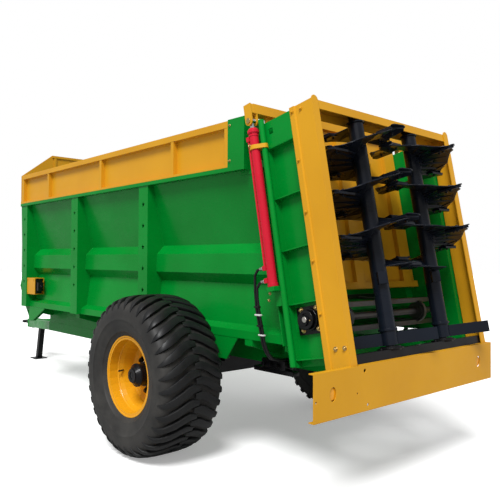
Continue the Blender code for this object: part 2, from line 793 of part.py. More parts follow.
def tow_eye():
    start = HEAD_FRONT + GAP
    flange = slab(start, start + 0.02, -0.075, 0.075, HEAD_Z - 0.055, HEAD_Z + 0.055)
    ring_middle = HITCH_REACH - 0.065
    shank = bar(at(start + 0.01, 0, HEAD_Z), at(ring_middle - 0.04, 0, HEAD_Z), 0.028)
    ring_frame = Matrix.Translation(at(ring_middle, 0, HEAD_Z))
    ring = turned(
        [
            (0.045 + 0.02 * math.cos(a), 0.02 * math.sin(a))
            for a in [math.pi * 2 * k / 10 for k in range(10)]
        ],
        ring_frame, 24,
    )
    return node("tow_eye", black, [flange, shank, ring])


def parking_leg():
    place = at(LEG_X, 0, LEG_Z)
    foot = at(LEG_FOOT_X, 0, 0)
    along = (foot - place).normalized()
    pivot = pivot_at("parking_leg_pivot", place)
    tube = beam(place - along * 0.04, foot - along * 0.008, LEG_SQUARE, LEG_SQUARE)
    sole = slab(LEG_FOOT_X - 0.10, LEG_FOOT_X + 0.10, -0.09, 0.09, 0, 0.012)
    brace = slab(LEG_FOOT_X - 0.06, LEG_FOOT_X + 0.03, -0.005, 0.005, 0.008, 0.09)
    below = slab(LEG_FOOT_X - 0.3, LEG_FOOT_X + 0.3, -0.3, 0.3, -0.2, 0)
    bore = bar(at(LEG_X, -0.1, LEG_Z), at(LEG_X, 0.1, LEG_Z), LEG_PIN + RUN_GAP)
    return node("parking_leg", black, [tube, sole, brace], [below, bore], pivot)


def line_shaft():
    pivot = pivot_at("line_shaft_axis", at(0, 0, LINE_SHAFT_Z))
    rod = bar(at(-1.40, 0, LINE_SHAFT_Z), at(3.56, 0, LINE_SHAFT_Z), 0.025)
    sleeves = [
        bar(at(x, 0, LINE_SHAFT_Z), at(x + 0.10, 0, LINE_SHAFT_Z), 0.04) for x in (-1.38, 3.14)
    ]
    return node("line_shaft", steel, [rod, *sleeves], (), pivot)


# Rear unit ----------------------------------------------------------------------------------


def rib_levels():
    return [RIB_TOP_S - RIB_PITCH * k for k in range(RIB_COUNT)]


def rear_side(label, side):
    web_in, web_out = side * PLATE_Y, side * (PLATE_Y + SHEET)
    face = side * (POST_FACE_Y - 0.0005)
    back_u = POST_WEB_U + STEP_U + 0.004
    plate = lean_slab(back_u, WALL_END_U - GAP, web_in, web_out, SIDE_LOW_S,
                      SIDE_TOP_S - 0.03)
    ribs = together(*[
        lean_slab(back_u + 0.001, FLANGE_U + SHEET - 0.001, side * (PLATE_Y + 0.003),
                  side * (POST_FACE_Y - 0.001), s - SHEET, s)
        for s in rib_levels()
    ])
    flange = lean_slab(FLANGE_U, FLANGE_U + SHEET, side * (PLATE_Y + 0.002),
                       side * (POST_FACE_Y + FLANGE_LIP), SIDE_LOW_S + 0.001, SIDE_TOP_S - 0.031)
    top = lean_slab(back_u + 0.002, FLANGE_U + 0.002, side * (POST_FACE_Y - SHEET), face,
                    RIB_TOP_S - 0.002, SIDE_TOP_S - 0.032)
    back = lean_slab(back_u + 0.0005, back_u + SHEET, side * (PLATE_Y + 0.0025), face,
                     SIDE_LOW_S + 0.0015, SIDE_TOP_S - 0.0315)
    middle = rear_shaft_local()
    shaft_hole = bar((leaned(middle[0], side * 0.7, middle[2])),
                     (leaned(middle[0], side * 0.83, middle[2])), SHAFT_RADIUS + RUN_GAP)
    window = lean_slab(0.315, 0.355, side * (POST_FACE_Y - 0.03), side * (POST_FACE_Y + 0.03),
                       0.735, 0.775)
    return node(
        f"rear_side_{label}", green, [plate, back, ribs, flange, top], [shaft_hole, window]
    )


def gate_guide(label, side):
    u = FLANGE_U + SHEET / 2
    y = side * GUIDE_Y
    rod = bar(leaned(u, y, SIDE_LOW_S + 0.01), leaned(u, y, SIDE_TOP_S - 0.01), GUIDE_RADIUS)
    return node(f"gate_guide_{label}", green, [rod])


def beater_post(label, side):
    web = 0.829
    strip = POST_FACE_Y + GAP
    section = [
        (POST_BACK_U, 0.775),
        (POST_BACK_U, web + SHEET),
        (POST_WEB_U, web + SHEET),
        (POST_WEB_U + STEP_U, strip + SHEET),
        (POST_STRIP_U, strip + SHEET),
        (POST_STRIP_U, strip),
        (POST_WEB_U + STEP_U + 0.003, strip),
        (POST_WEB_U + 0.003, web),
        (POST_BACK_U + SHEET, web),
        (POST_BACK_U + SHEET, 0.775),
    ]
    length = POST_TOP_S - POST_LOW_S
    frame = LEAN_FRAME @ Matrix.Translation((0, 0, POST_LOW_S + length / 2))
    sheet = outline([(u, side * y) for u, y in section], length, frame)
    cap = bar(leaned(POST_BACK_U + 0.0003, side * 0.806, POST_TOP_S - 0.005),
              leaned(POST_BACK_U + SHEET - 0.0003, side * 0.806, POST_TOP_S - 0.005), 0.0296)
    return node(f"beater_post_{label}", yellow, [sheet, cap])


def top_beam():
    half = 0.829 - GAP
    u0, u1 = POST_BACK_U + SHEET + GAP, 0.095
    top_s = BEAM_TOP_S - 0.015
    section = [
        (u0, BEAM_TOP_S - BEAM_DEEP),
        (u0, top_s),
        (u1, top_s),
        (u1, BEAM_TOP_S - BEAM_DEEP),
        (u1 - SHEET, BEAM_TOP_S - BEAM_DEEP),
        (u1 - SHEET, top_s - SHEET),
        (u0 + SHEET, top_s - SHEET),
        (u0 + SHEET, BEAM_TOP_S - BEAM_DEEP),
    ]
    return node("beater_top_beam", yellow, [outline(section, 2 * half, lean_side_frame(0))])


def beater_bearing(label, side):
    top = BEAM_TOP_S - 0.015 - SHEET - GAP
    bore = STUB_RADIUS + RUN_GAP
    frame = LEAN_FRAME @ Matrix.Translation((0, side * BEATER_Y, 0))
    low = BEATER_HIGH_S + 0.006
    ring = turned([(bore, top), (0.044, top), (0.044, low), (bore, low)][::-1], frame, 32)
    return node(f"beater_bearing_{label}", black, [ring])


def beater_base():
    half = 0.829 - GAP
    body = lean_slab(-0.045, 0.065, -half, half, BASE_LOW_S, BASE_TOP_S)
    collars = together(*[
        bar(leaned(0, side * BEATER_Y, BASE_TOP_S - 0.01),
            leaned(0, side * BEATER_Y, BEATER_LOW_S - 0.006), 0.07)
        for side in (1, -1)
    ])
    bores = together(*[
        bar(leaned(0, side * BEATER_Y, BEATER_LOW_S - STUB_LENGTH - 0.01),
            leaned(0, side * BEATER_Y, BEATER_LOW_S + 0.05), STUB_RADIUS + RUN_GAP, 32)
        for side in (1, -1)
    ])
    return node("beater_base", black, [body, collars], [bores])


def rear_gearbox():
    place = leaned(0.065, 0, BASE_LOW_S)
    x1 = place.x - AXLE_X
    housing = slab(x1 + 0.005, -1.42, -0.11, 0.11, LINE_SHAFT_Z - 0.09, LINE_SHAFT_Z + 0.09)
    nose = bar(at(-1.46, 0, LINE_SHAFT_Z), at(-1.4005, 0, LINE_SHAFT_Z), 0.05)
    socket = bar(at(-1.41, 0, LINE_SHAFT_Z), at(-1.39, 0, LINE_SHAFT_Z), 0.025 + RUN_GAP)
    clear = lean_slab(-0.5, 0.065 + GAP, -0.2, 0.2, BASE_LOW_S - 0.3, BASE_TOP_S + 0.3)
    return node("rear_gearbox", black, [housing, nose], [clear, socket])


def guard_plate():
    x0 = -GUARD_REACH
    left, right = GUARD_PLATE_LEFT, GUARD_PLATE_RIGHT
    web = slab(x0, x0 + 0.006, right, left, GUARD_PLATE_LOW_Z, GUARD_PLATE_TOP_Z)
    top = slab(x0 + 0.0005, x0 + GUARD_PLATE_FLANGE, right + 0.0005, left - 0.0005,
               GUARD_PLATE_TOP_Z - 0.0065, GUARD_PLATE_TOP_Z - 0.0005)
    low = slab(x0 + 0.0005, x0 + GUARD_PLATE_FLANGE, right + 0.0005, left - 0.0005,
               GUARD_PLATE_LOW_Z + 0.0005, GUARD_PLATE_LOW_Z + 0.0065)
    notches = together(*[
        slab(x0 + 0.006, x0 + 0.2, side * 0.765, side * (0.837 + GAP), GUARD_PLATE_TOP_Z - 0.05,
             GUARD_PLATE_TOP_Z + 0.05)
        for side in (1, -1)
    ])
    holes = []
    for y, z, wide, high in GUARD_PLATE_HOLES:
        corners = 12 if high > 0.02 else 8
        rim = [
            (y + wide * math.cos(a), z + high * math.sin(a))
            for a in [2 * math.pi * k / corners for k in range(corners)]
        ]
        holes.append(outline(rim, 0.04, across_frame(x0)))
    return node("rear_guard_plate", yellow, [web, top, low], [notches, *holes])


def beater(label, side):
    y = side * BEATER_Y
    pivot = pivot_at(f"beater_{label}_axis", leaned(0, y, 0), LEAN)
    frame = LEAN_FRAME @ Matrix.Translation((0, y, 0))
    hand = Matrix.Diagonal((1, side, 1, 1))
    shift = 0 if side > 0 else -FLIGHT_PITCH / BLADES_A_TURN / 2
    tube = turned(
        [
            (0, BEATER_LOW_S - STUB_LENGTH),
            (STUB_RADIUS, BEATER_LOW_S - STUB_LENGTH),
            (STUB_RADIUS, BEATER_LOW_S),
            (BEATER_TUBE, BEATER_LOW_S),
            (BEATER_TUBE, BEATER_HIGH_S),
            (STUB_RADIUS, BEATER_HIGH_S),
            (STUB_RADIUS, BEATER_HIGH_S + STUB_LENGTH),
            (0, BEATER_HIGH_S + STUB_LENGTH),
        ][::-1],
        frame, 28,
    )
    half_width = BLADE_WIDTH / 2
    claw = (
        (FLIGHT_RADIUS - 0.08, -half_width),
        (BLADE_RADIUS - 0.06, -half_width),
        (BLADE_RADIUS - 0.006, half_width * 0.35),
        (BLADE_RADIUS - 0.03, half_width),
        (FLIGHT_RADIUS - 0.08, half_width),
    )
    flight = flight_mesh(frame @ hand @ Matrix.Translation((0, 0, shift)))
    blades = []
    turn_count = int(FLIGHT_TURNS * BLADES_A_TURN)
    for count in range(turn_count + 1):
        part = count / BLADES_A_TURN
        s = FLIGHT_TOP_S - part * FLIGHT_PITCH
        slope = math.atan(FLIGHT_PITCH / (2 * math.pi * FLIGHT_RADIUS))
        place = (
            frame @ hand @ Matrix.Translation((0, 0, s + shift))
            @ Matrix.Rotation(-part * 2 * math.pi, 4, "Z") @ Matrix.Rotation(-slope, 4, "X")
        )
        blades.append(outline(claw, BLADE_THICK, place))
    paddles = []
    for half_turn in (0, math.pi):
        place = frame @ Matrix.Rotation(PADDLE_ANGLE[label] + half_turn, 4, "Z")
        paddles.append(slab(0.03, PADDLE_RADIUS, -PADDLE_HALF, PADDLE_HALF, BEATER_LOW_S + 0.001,
                            BEATER_LOW_S + PADDLE_HIGH, place))
    blocks = together(*[
        slab(0.045, 0.09, -0.03, 0.03, -0.38, -0.30,
             frame @ Matrix.Rotation(math.radians(140 + turn), 4, "Z"))
        for turn in (0, 180)
    ])
    return node(
        f"beater_{label}", blue_black, [tube, flight, *blades, *paddles, blocks],
        (), pivot,
    )


def flight_mesh(matrix):
    """The helical flight: a radial edge screwed downwards, with thickness."""
    work = bmesh.new()
    inner = work.verts.new((BEATER_TUBE - 0.015, 0, 0))
    outer = work.verts.new((FLIGHT_RADIUS, 0, 0))
    work.edges.new((inner, outer))
    mesh = bpy.data.meshes.new("edge")
    work.to_mesh(mesh)
    work.free()
    obj = bpy.data.objects.new("flight", mesh)
    helpers.objects.link(obj)
    screw = obj.modifiers.new("wind", "SCREW")
    screw.steps = screw.render_steps = int(16 * FLIGHT_TURNS)
    screw.angle = -FLIGHT_TURNS * 2 * math.pi
    screw.screw_offset = -FLIGHT_PITCH * FLIGHT_TURNS
    thick = obj.modifiers.new("thick", "SOLIDIFY")
    thick.thickness = FLIGHT_THICK
    thick.offset = 0
    return welded(evaluated_mesh(obj), matrix @ Matrix.Translation((0, 0, FLIGHT_TOP_S)))


# Gate and cylinders -------------------------------------------------------------------------


def gate_panel(pivot):
    panel = lean_slab(GATE_U - 0.006, GATE_U + 0.006, -GATE_HALF, GATE_HALF, GATE_LOW_S,
                      CROSS_LOW_S - GAP)
    ribs = together(*[
        lean_slab(GATE_U - 0.042, GATE_U - 0.005, y - 0.05, y + 0.05, GATE_LOW_S + 0.001,
                  CROSS_LOW_S - 0.04)
        for y in (-0.62, -0.31, 0.0, 0.31, 0.62)
    ])
    foot = lean_slab(GATE_U - 0.041, GATE_U + 0.0055, -GATE_HALF + 0.001, GATE_HALF - 0.001,
                     GATE_LOW_S - 0.0005, GATE_LOW_S + 0.05)
    return node("gate_panel", yellow, [panel, ribs, foot], (), pivot)


def gate_crossbeam(pivot):
    u0, u1 = GATE_U - 0.035, GATE_U + 0.035
    top = CROSS_LOW_S + CROSS_HIGH
    cross = lean_slab(u0, u1, -CYLINDER_Y, CYLINDER_Y, CROSS_LOW_S, top)
    lugs = []
    pins = []
    for side in (1, -1):
        for y in (CYLINDER_Y - 0.026, CYLINDER_Y + 0.026):
            points = [(u0 + 0.001, top + 0.001), (u0 + 0.001, EYE_S)]
            points += [
                (GATE_U - 0.034 * math.cos(a), EYE_S - 0.034 * math.sin(a))
                for a in [math.pi * k / 8 for k in range(1, 8)]
            ]
            points += [(u1 - 0.001, EYE_S), (u1 - 0.001, top + 0.001)]
            lugs.append(outline(points, 0.01, lean_side_frame(side * y)))
        pins.append(bar(leaned(GATE_U, side * (CYLINDER_Y - 0.035), EYE_S),
                        leaned(GATE_U, side * (CYLINDER_Y + 0.035), EYE_S), 0.012))
    extra = together(*[
        lean_slab(u0 + 0.002, u1 - 0.002, side * (CYLINDER_Y - 0.02), side * (CYLINDER_Y + 0.0305),
                  CROSS_LOW_S + 0.002, top - 0.002)
        for side in (1, -1)
    ])
    return node("gate_crossbeam", yellow, [cross, extra, *lugs, *pins], (), pivot)


def cylinder_rod(label, side, pivot):
    y = side * CYLINDER_Y
    rod = bar(leaned(GATE_U, y, CYLINDER_LOW_S + 0.03), leaned(GATE_U, y, EYE_S - 0.015),
              ROD_RADIUS, 24)
    eye = bar(leaned(GATE_U, y - 0.02, EYE_S), leaned(GATE_U, y + 0.02, EYE_S), 0.026)
    bore = bar(leaned(GATE_U, y - 0.03, EYE_S), leaned(GATE_U, y + 0.03, EYE_S),
               0.012 + RUN_GAP)
    return node(f"cylinder_rod_{label}", steel, [rod, eye], [bore], pivot)


def cylinder(label, side):
    y = side * CYLINDER_Y
    frame = LEAN_FRAME @ Matrix.Translation((GATE_U, y, 0))
    bore = ROD_RADIUS + RUN_GAP
    barrel = turned(
        [
            (0, CYLINDER_LOW_S),
            (CYLINDER_RADIUS, CYLINDER_LOW_S),
            (CYLINDER_RADIUS, CYLINDER_HIGH_S),
            (GLAND_RADIUS, CYLINDER_HIGH_S),
            (GLAND_RADIUS, GLAND_TOP_S - 0.01),
            (0.03, GLAND_TOP_S),
            (bore, GLAND_TOP_S),
            (bore, CYLINDER_LOW_S + 0.02),
            (0, CYLINDER_LOW_S + 0.02),
        ][::-1],
        frame, 24,
    )
    feed = bar(leaned(GATE_U + FEED_U, y + side * FEED_Y, CYLINDER_LOW_S + 0.14),
               leaned(GATE_U + FEED_U, y + side * FEED_Y, CYLINDER_HIGH_S - 0.04),
               FEED_RADIUS, 12)
    ports = together(*[
        lean_slab(GATE_U + 0.016, GATE_U + PORT_U, y + side * 0.018, y + side * 0.036, s, s + 0.033)
        for s in (CYLINDER_LOW_S + 0.03, CYLINDER_LOW_S + 0.115, CYLINDER_HIGH_S - 0.05)
    ])
    return node(f"gate_cylinder_{label}", red, [barrel, feed, ports])


def guide_clearance(side):
    """What a piece that passes the guide tube leaves free."""
    place = (FLANGE_U + SHEET / 2, side * GUIDE_Y)
    return bar(leaned(*place, SIDE_LOW_S - 0.1), leaned(*place, SIDE_TOP_S + 0.1),
               GUIDE_RADIUS + GAP)


def cylinder_bracket(label, side):
    y0 = side * (PLATE_Y + SHEET + GAP)
    top = CYLINDER_LOW_S - GAP
    base = lean_slab(FLANGE_U + SHEET + 0.002, GATE_U + 0.032, y0, side * (CYLINDER_Y - 0.036),
                     top - 0.13, top - 0.02)
    shelf = lean_slab(FLANGE_U + SHEET + 0.01, GATE_U + 0.034, y0, side * (CYLINDER_Y + 0.034),
                      top - 0.03, top)
    return node(f"cylinder_bracket_{label}", green, [base, shelf], [guide_clearance(side)])


def cylinder_strap(label, side):
    circles = (
        (Vector((GATE_U, side * CYLINDER_Y)), CYLINDER_RADIUS + GAP + 0.008),
        (Vector((FLANGE_U + SHEET / 2, side * GUIDE_Y)), GUIDE_RADIUS + GAP + 0.006),
    )
    points = []
    for step in range(36):
        angle = math.radians(10 * step)
        way = Vector((math.cos(angle), math.sin(angle)))
        centre, radius = max(circles, key=lambda circle: circle[0].dot(way) + circle[1])
        points.append(centre + way * radius)
    frame = LEAN_FRAME @ Matrix.Translation((0, 0, STRAP_S))
    clamp = outline([tuple(point) for point in points], 0.03, frame)
    y = side * CYLINDER_Y
    bore = bar(leaned(GATE_U, y, STRAP_S - 0.1), leaned(GATE_U, y, STRAP_S + 0.1),
               CYLINDER_RADIUS + GAP + 0.0003, 32)
    feed_clear = bar(
        leaned(GATE_U + FEED_U, y + side * FEED_Y, STRAP_S - 0.1),
        leaned(GATE_U + FEED_U, y + side * FEED_Y, STRAP_S + 0.1), FEED_RADIUS + GAP, 12,
    )
    plate_clear = lean_slab(FLANGE_U - 0.05, FLANGE_U + SHEET + GAP, side * 0.7,
                            side * (POST_FACE_Y + FLANGE_LIP + GAP), STRAP_S - 0.1, STRAP_S + 0.1)
    return node(
        f"cylinder_strap_{label}", yellow, [clamp],
        [bore, guide_clearance(side), feed_clear, plate_clear],
    )


def hoses(label, side):
    port_u = GATE_U + PORT_U + GAP
    y = CYLINDER_Y + 0.027
    runs = []
    for count, s in enumerate((CYLINDER_LOW_S + 0.1325, CYLINDER_LOW_S + 0.045)):
        start = leaned(port_u, side * y, s)
        drop_x = -0.955 - 0.022 * count
        route = [
            start,
            leaned(port_u + 0.008, side * y, s),
            leaned(port_u + 0.03, side * y, s),
            at(drop_x, side * y, start.z - 0.05),
            at(drop_x - 0.005, side * (y - 0.01), 1.16),
            at(drop_x - 0.01, side * (y - 0.045), 1.0),
            at(drop_x - 0.01, side * (y - 0.07), 0.9),
            at(drop_x + 0.01, side * (y - 0.16), 0.80),
            at(drop_x + 0.03, side * 0.62, 0.775),
            at(drop_x + 0.03, side * 0.57, 0.775),
            at(drop_x + 0.03, side * (0.55 + GAP), 0.775),
        ]
        runs.append(wire(route, 0.0095))
    ties = together(*[
        slab(-0.992, -0.948, side * (y - 0.02 - drop), side * (y + 0.004 - drop), z - 0.006,
             z + 0.006)
        for z, drop in ((1.17, 0.0), (1.04, 0.025))
    ])
    return node(f"gate_hoses_{label}", hose_rubber, [runs[0], ties, runs[1]])


# Wheels -------------------------------------------------------------------------------------


def wheel(label, side):
    centre = at(0, side * WHEEL_Y, WHEEL_RADIUS)
    pivot = pivot_at(f"wheel_{label}_axis", centre)
    frame = Matrix.Translation(centre) @ Matrix.Rotation(-side * math.pi / 2, 4, "X")
    half = TYRE_WIDTH / 2
    bead = RIM_RADIUS + GAP
    tyre = turned(
        [
            (bead, -RIM_HALF_WIDTH + 0.008),
            (RIM_FLANGE + GAP, -RIM_HALF_WIDTH + 0.008),
            (RIM_FLANGE + GAP, -RIM_HALF_WIDTH - 0.004),
            (0.40, -half + 0.008),
            (0.48, -half),
            (0.56, -half + 0.02),
            (0.598, -half + 0.075),
            (WHEEL_RADIUS, -half + 0.16),
            (WHEEL_RADIUS, half - 0.16),
            (0.598, half - 0.075),
            (0.56, half - 0.02),
            (0.48, half),
            (0.40, half - 0.008),
            (RIM_FLANGE + GAP, RIM_HALF_WIDTH + 0.004),
            (RIM_FLANGE + GAP, RIM_HALF_WIDTH - 0.008),
            (bead, RIM_HALF_WIDTH - 0.008),
        ],
        frame, WHEEL_STEPS,
    )
    node(f"tyre_{label}", tyre_rubber, [tyre], (), pivot)
    edge = RIM_HALF_WIDTH
    rim = turned(
        [
            (RIM_RADIUS, -edge + 0.008),
            (RIM_RADIUS, edge - 0.008),
            (RIM_FLANGE, edge - 0.0075),
            (RIM_FLANGE, edge),
            (RIM_RADIUS - 0.01, edge),
            (RIM_RADIUS - 0.014, 0.14),
            (0.255, 0.10),
            (0.235, 0.02),
            (0.20, 0.005),
            (0.105, 0.005),
            (0.105, -0.007),
            (0.20, -0.007),
            (0.245, 0.0),
            (RIM_RADIUS - 0.014, -0.1),
            (RIM_RADIUS - 0.01, -edge),
            (RIM_FLANGE, -edge),
            (RIM_FLANGE, -edge + 0.0075),
        ][::-1],
        frame, WHEEL_STEPS,
    )
    node(f"rim_{label}", yellow, [rim], (), pivot)
    bore = SPINDLE_RADIUS + RUN_GAP
    hub = turned(
        [
            (0, 0.106),
            (bore, 0.106),
            (bore, -0.15),
            (0.075, -0.15),
            (0.085, -0.05),
            (0.16, -0.03),
            (0.16, -0.007 - GAP),
            (0.105 - GAP, -0.007 - GAP),
            (0.105 - GAP, 0.03),
            (0.085, 0.05),
            (0.08, 0.14),
            (0.055, 0.17),
            (0, 0.175),
        ],
        frame, WHEEL_STEPS,
    )
    node(f"hub_{label}", black, [hub], (), pivot)


steel_dark = painted("worn_steel", (0.10, 0.10, 0.10), 0.5, 0.8)

front_wall()
front_guard()
deck()
conveyor()
conveyor_shaft("rear", -SHAFT_REAR, PLATE_Y + SHEET - GAP)
conveyor_shaft("front", SHAFT_FRONT, wall_y(CONVEYOR_Z + SHAFT_RADIUS) - SHEET - 0.0008)
chassis()
axle()
drawbar()
tow_eye()
parking_leg()
line_shaft()
top_beam()
beater_base()
rear_gearbox()
guard_plate()
gate_axis = pivot_at("gate_slide", leaned(GATE_U, 0, CROSS_LOW_S), LEAN)
gate_panel(gate_axis)
gate_crossbeam(gate_axis)
for side_label, side_sign in SIDES:
    side_wall(side_label, side_sign)
    extension_board(side_label, side_sign)
    shaft_bearing(side_label, side_sign)
    tensioner_cover(side_label, side_sign)
    wheel_skirt(side_label, side_sign)
    front_gusset(side_label, side_sign)
    rear_side(side_label, side_sign)
    gate_guide(side_label, side_sign)
    beater_post(side_label, side_sign)
    beater_bearing(side_label, side_sign)
    beater(side_label, side_sign)
    cylinder(side_label, side_sign)
    cylinder_rod(side_label, side_sign, gate_axis)
    cylinder_bracket(side_label, side_sign)
    cylinder_strap(side_label, side_sign)
    hoses(side_label, side_sign)
    wheel(side_label, side_sign)
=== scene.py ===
# Manure spreader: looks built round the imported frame. Run with Blender 4.5.
import json
import math

import bpy
from mathutils import Matrix, Vector


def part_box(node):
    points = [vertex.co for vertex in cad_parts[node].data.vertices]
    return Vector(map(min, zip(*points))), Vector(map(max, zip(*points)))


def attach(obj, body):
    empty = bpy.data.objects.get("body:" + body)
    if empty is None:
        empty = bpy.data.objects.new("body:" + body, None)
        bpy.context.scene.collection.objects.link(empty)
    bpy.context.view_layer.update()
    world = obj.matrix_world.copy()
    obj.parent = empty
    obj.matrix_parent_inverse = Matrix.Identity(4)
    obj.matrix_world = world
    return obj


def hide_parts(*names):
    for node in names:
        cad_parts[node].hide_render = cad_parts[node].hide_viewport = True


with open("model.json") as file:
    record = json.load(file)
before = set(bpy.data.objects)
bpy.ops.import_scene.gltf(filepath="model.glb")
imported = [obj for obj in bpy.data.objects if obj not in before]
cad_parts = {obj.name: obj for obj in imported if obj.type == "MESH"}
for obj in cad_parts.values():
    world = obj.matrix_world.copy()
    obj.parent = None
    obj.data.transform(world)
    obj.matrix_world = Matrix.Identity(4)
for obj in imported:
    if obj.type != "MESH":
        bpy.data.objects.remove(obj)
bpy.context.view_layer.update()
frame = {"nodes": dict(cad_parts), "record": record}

nodes = frame["nodes"]


def middleOf(node):
    low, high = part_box(node)
    return (Vector(low) + Vector(high)) / 2


# the machine's own marks, measured from the frame
wheelMiddle = {side: middleOf(f"tyre_{side}") for side in ("left", "right")}
axleX = wheelMiddle["left"].x
wheelRadius = wheelMiddle["left"].z
# the rear unit's own frame: how far behind the axle and how high it is, and how it leans
rearUnit = {"behind": 1.483, "height": 1.70, "lean": math.radians(11)}
leanFrame = Matrix.Translation((axleX - rearUnit["behind"], 0, rearUnit["height"]))
leanFrame = leanFrame @ Matrix.Rotation(rearUnit["lean"], 4, "Y")
sides = (("left", 1), ("right", -1))


def at(x, y, z):
    return Vector((axleX + x, y, z))


def leaned(u, y, s):
    return leanFrame @ Vector((u, y, s))


# the camera stands off the rear left corner, and the light is a dim white sky with one sun
studio = {
    "cameraPlace": (-3.9416, 3.6649, 1.4799),
    "yaw": -0.73318,
    "pitch": 0.01915,
    "roll": 0.0060,
    "lens": 42.76,
    "film": 36,
    "farthest": 300,
    "sky": 0.50,
    "sunFrom": (-0.38, 0.55, 0.85),
    "sunStrength": 3.3,
    "sunWidth": 24,
    "floorSides": 96,
    "floorRadius": 70,
}


def setCamera():
    data = bpy.data.cameras.new("viewCamera")
    camera = bpy.data.objects.new("viewCamera", data)
    bpy.context.scene.collection.objects.link(camera)
    yaw, pitch, roll = studio["yaw"], studio["pitch"], studio["roll"]
    ahead = Vector((math.cos(yaw) * math.cos(pitch), math.sin(yaw) * math.cos(pitch), math.sin(pitch)))
    right = Vector((math.sin(yaw), -math.cos(yaw), 0))
    over = right.cross(ahead)
    rightTurned = right * math.cos(roll) + over * math.sin(roll)
    overTurned = over * math.cos(roll) - right * math.sin(roll)
    turn = Matrix((rightTurned, overTurned, -ahead)).transposed().to_4x4()
    x, y, z = studio["cameraPlace"]
    camera.matrix_world = Matrix.Translation(at(x, y, z)) @ turn
    data.lens = studio["lens"]
    data.sensor_width = studio["film"]
    data.clip_end = studio["farthest"]
    bpy.context.scene.camera = camera


def addSun(name, away, strength, width):
    data = bpy.data.lights.new(name, "SUN")
    data.energy = strength
    data.angle = math.radians(width)
    light = bpy.data.objects.new(name, data)
    bpy.context.scene.collection.objects.link(light)
    light.matrix_world = Vector(away).to_track_quat("Z", "Y").to_matrix().to_4x4()


def setStudio():
    bpy.context.scene.view_settings.view_transform = "Standard"
    world = bpy.data.worlds.new("studioSky")
    bpy.context.scene.world = world
    world.use_nodes = True
    tree = world.node_tree
    sky = tree.nodes["Background"]
    sky.inputs["Color"].default_value = (1, 1, 1, 1)
    sky.inputs["Strength"].default_value = studio["sky"]
    # the camera itself sees plain white, and the machine is lit by a dimmer sky
    white = tree.nodes.new("ShaderNodeBackground")
    white.inputs["Color"].default_value = (1, 1, 1, 1)
    seen = tree.nodes.new("ShaderNodeLightPath")
    both = tree.nodes.new("ShaderNodeMixShader")
    tree.links.new(seen.outputs["Is Camera Ray"], both.inputs["Fac"])
    tree.links.new(sky.outputs["Background"], both.inputs[1])
    tree.links.new(white.outputs["Background"], both.inputs[2])
    tree.links.new(both.outputs["Shader"], tree.nodes["World Output"].inputs["Surface"])
    addSun("highSun", studio["sunFrom"], studio["sunStrength"], studio["sunWidth"])
    clearSelection()
    bpy.ops.mesh.primitive_circle_add(
        vertices=studio["floorSides"], radius=studio["floorRadius"], fill_type="NGON"
    )
    floor = bpy.context.object
    floor.name = "studioFloor"
    floor.data.materials.append(finish["floorPale"])
    print("studio set")


# procedural materials, on Object coordinates
def newMaterial(name):
    material = bpy.data.materials.new(name)
    material.use_nodes = True
    tree = material.node_tree
    shader = tree.nodes["Principled BSDF"]
    coords = tree.nodes.new("ShaderNodeTexCoord")
    return material, tree, shader, coords


def noiseOf(tree, coords, scale, detail=4, rough=0.55, stretch=(1, 1, 1)):
    mapping = tree.nodes.new("ShaderNodeMapping")
    mapping.inputs["Scale"].default_value = stretch
    tree.links.new(coords.outputs["Object"], mapping.inputs["Vector"])
    noise = tree.nodes.new("ShaderNodeTexNoise")
    noise.inputs["Scale"].default_value = scale
    noise.inputs["Detail"].default_value = detail
    noise.inputs["Roughness"].default_value = rough
    tree.links.new(mapping.outputs["Vector"], noise.inputs["Vector"])
    return noise


def rampOf(tree, source, stops):
    ramp = tree.nodes.new("ShaderNodeValToRGB")
    band = ramp.color_ramp
    while len(band.elements) < len(stops):
        band.elements.new(0.5)
    for element, (place, value) in zip(band.elements, stops):
        element.position = place
        element.color = value if len(value) == 4 else (*value, 1)
    tree.links.new(source, ramp.inputs["Fac"])
    return ramp


def grey(value):
    return (value, value, value)


# paint, steel and rubber all show slightly rounded edges
edgeLook = {"samples": 4, "radius": 0.004}


def bumpOf(tree, shader, source, strength, distance):
    edge = tree.nodes.new("ShaderNodeBevel")
    edge.samples = edgeLook["samples"]
    edge.inputs["Radius"].default_value = edgeLook["radius"]
    bump = tree.nodes.new("ShaderNodeBump")
    bump.inputs["Strength"].default_value = strength
    bump.inputs["Distance"].default_value = distance
    tree.links.new(edge.outputs["Normal"], bump.inputs["Normal"])
    tree.links.new(source, bump.inputs["Height"])
    tree.links.new(bump.outputs["Normal"], shader.inputs["Normal"])
    return bump


# a noise is (scale, detail, roughness, stretch), and the offsets move a given roughness
paintLook = {
    "cloud": (1.6, 3),
    "cloudStops": (0.3, 0.7),
    "fine": (34, 6, 0.7),
    "dustStops": (0.52, 0.78),
    "dustGain": 3,
    "dustTone": (0.17, 0.15, 0.11, 1),
    "smear": (7, 5, 0.6, (0.6, 1, 2.2)),
    "sheenStops": (0.3, 0.75),
    "sheenOffsets": (-0.07, 0.12),
    "bending": 1.38,
    "coatRough": 0.10,
    "orange": (90, 2),
    "orangeDepth": 0.002,
}


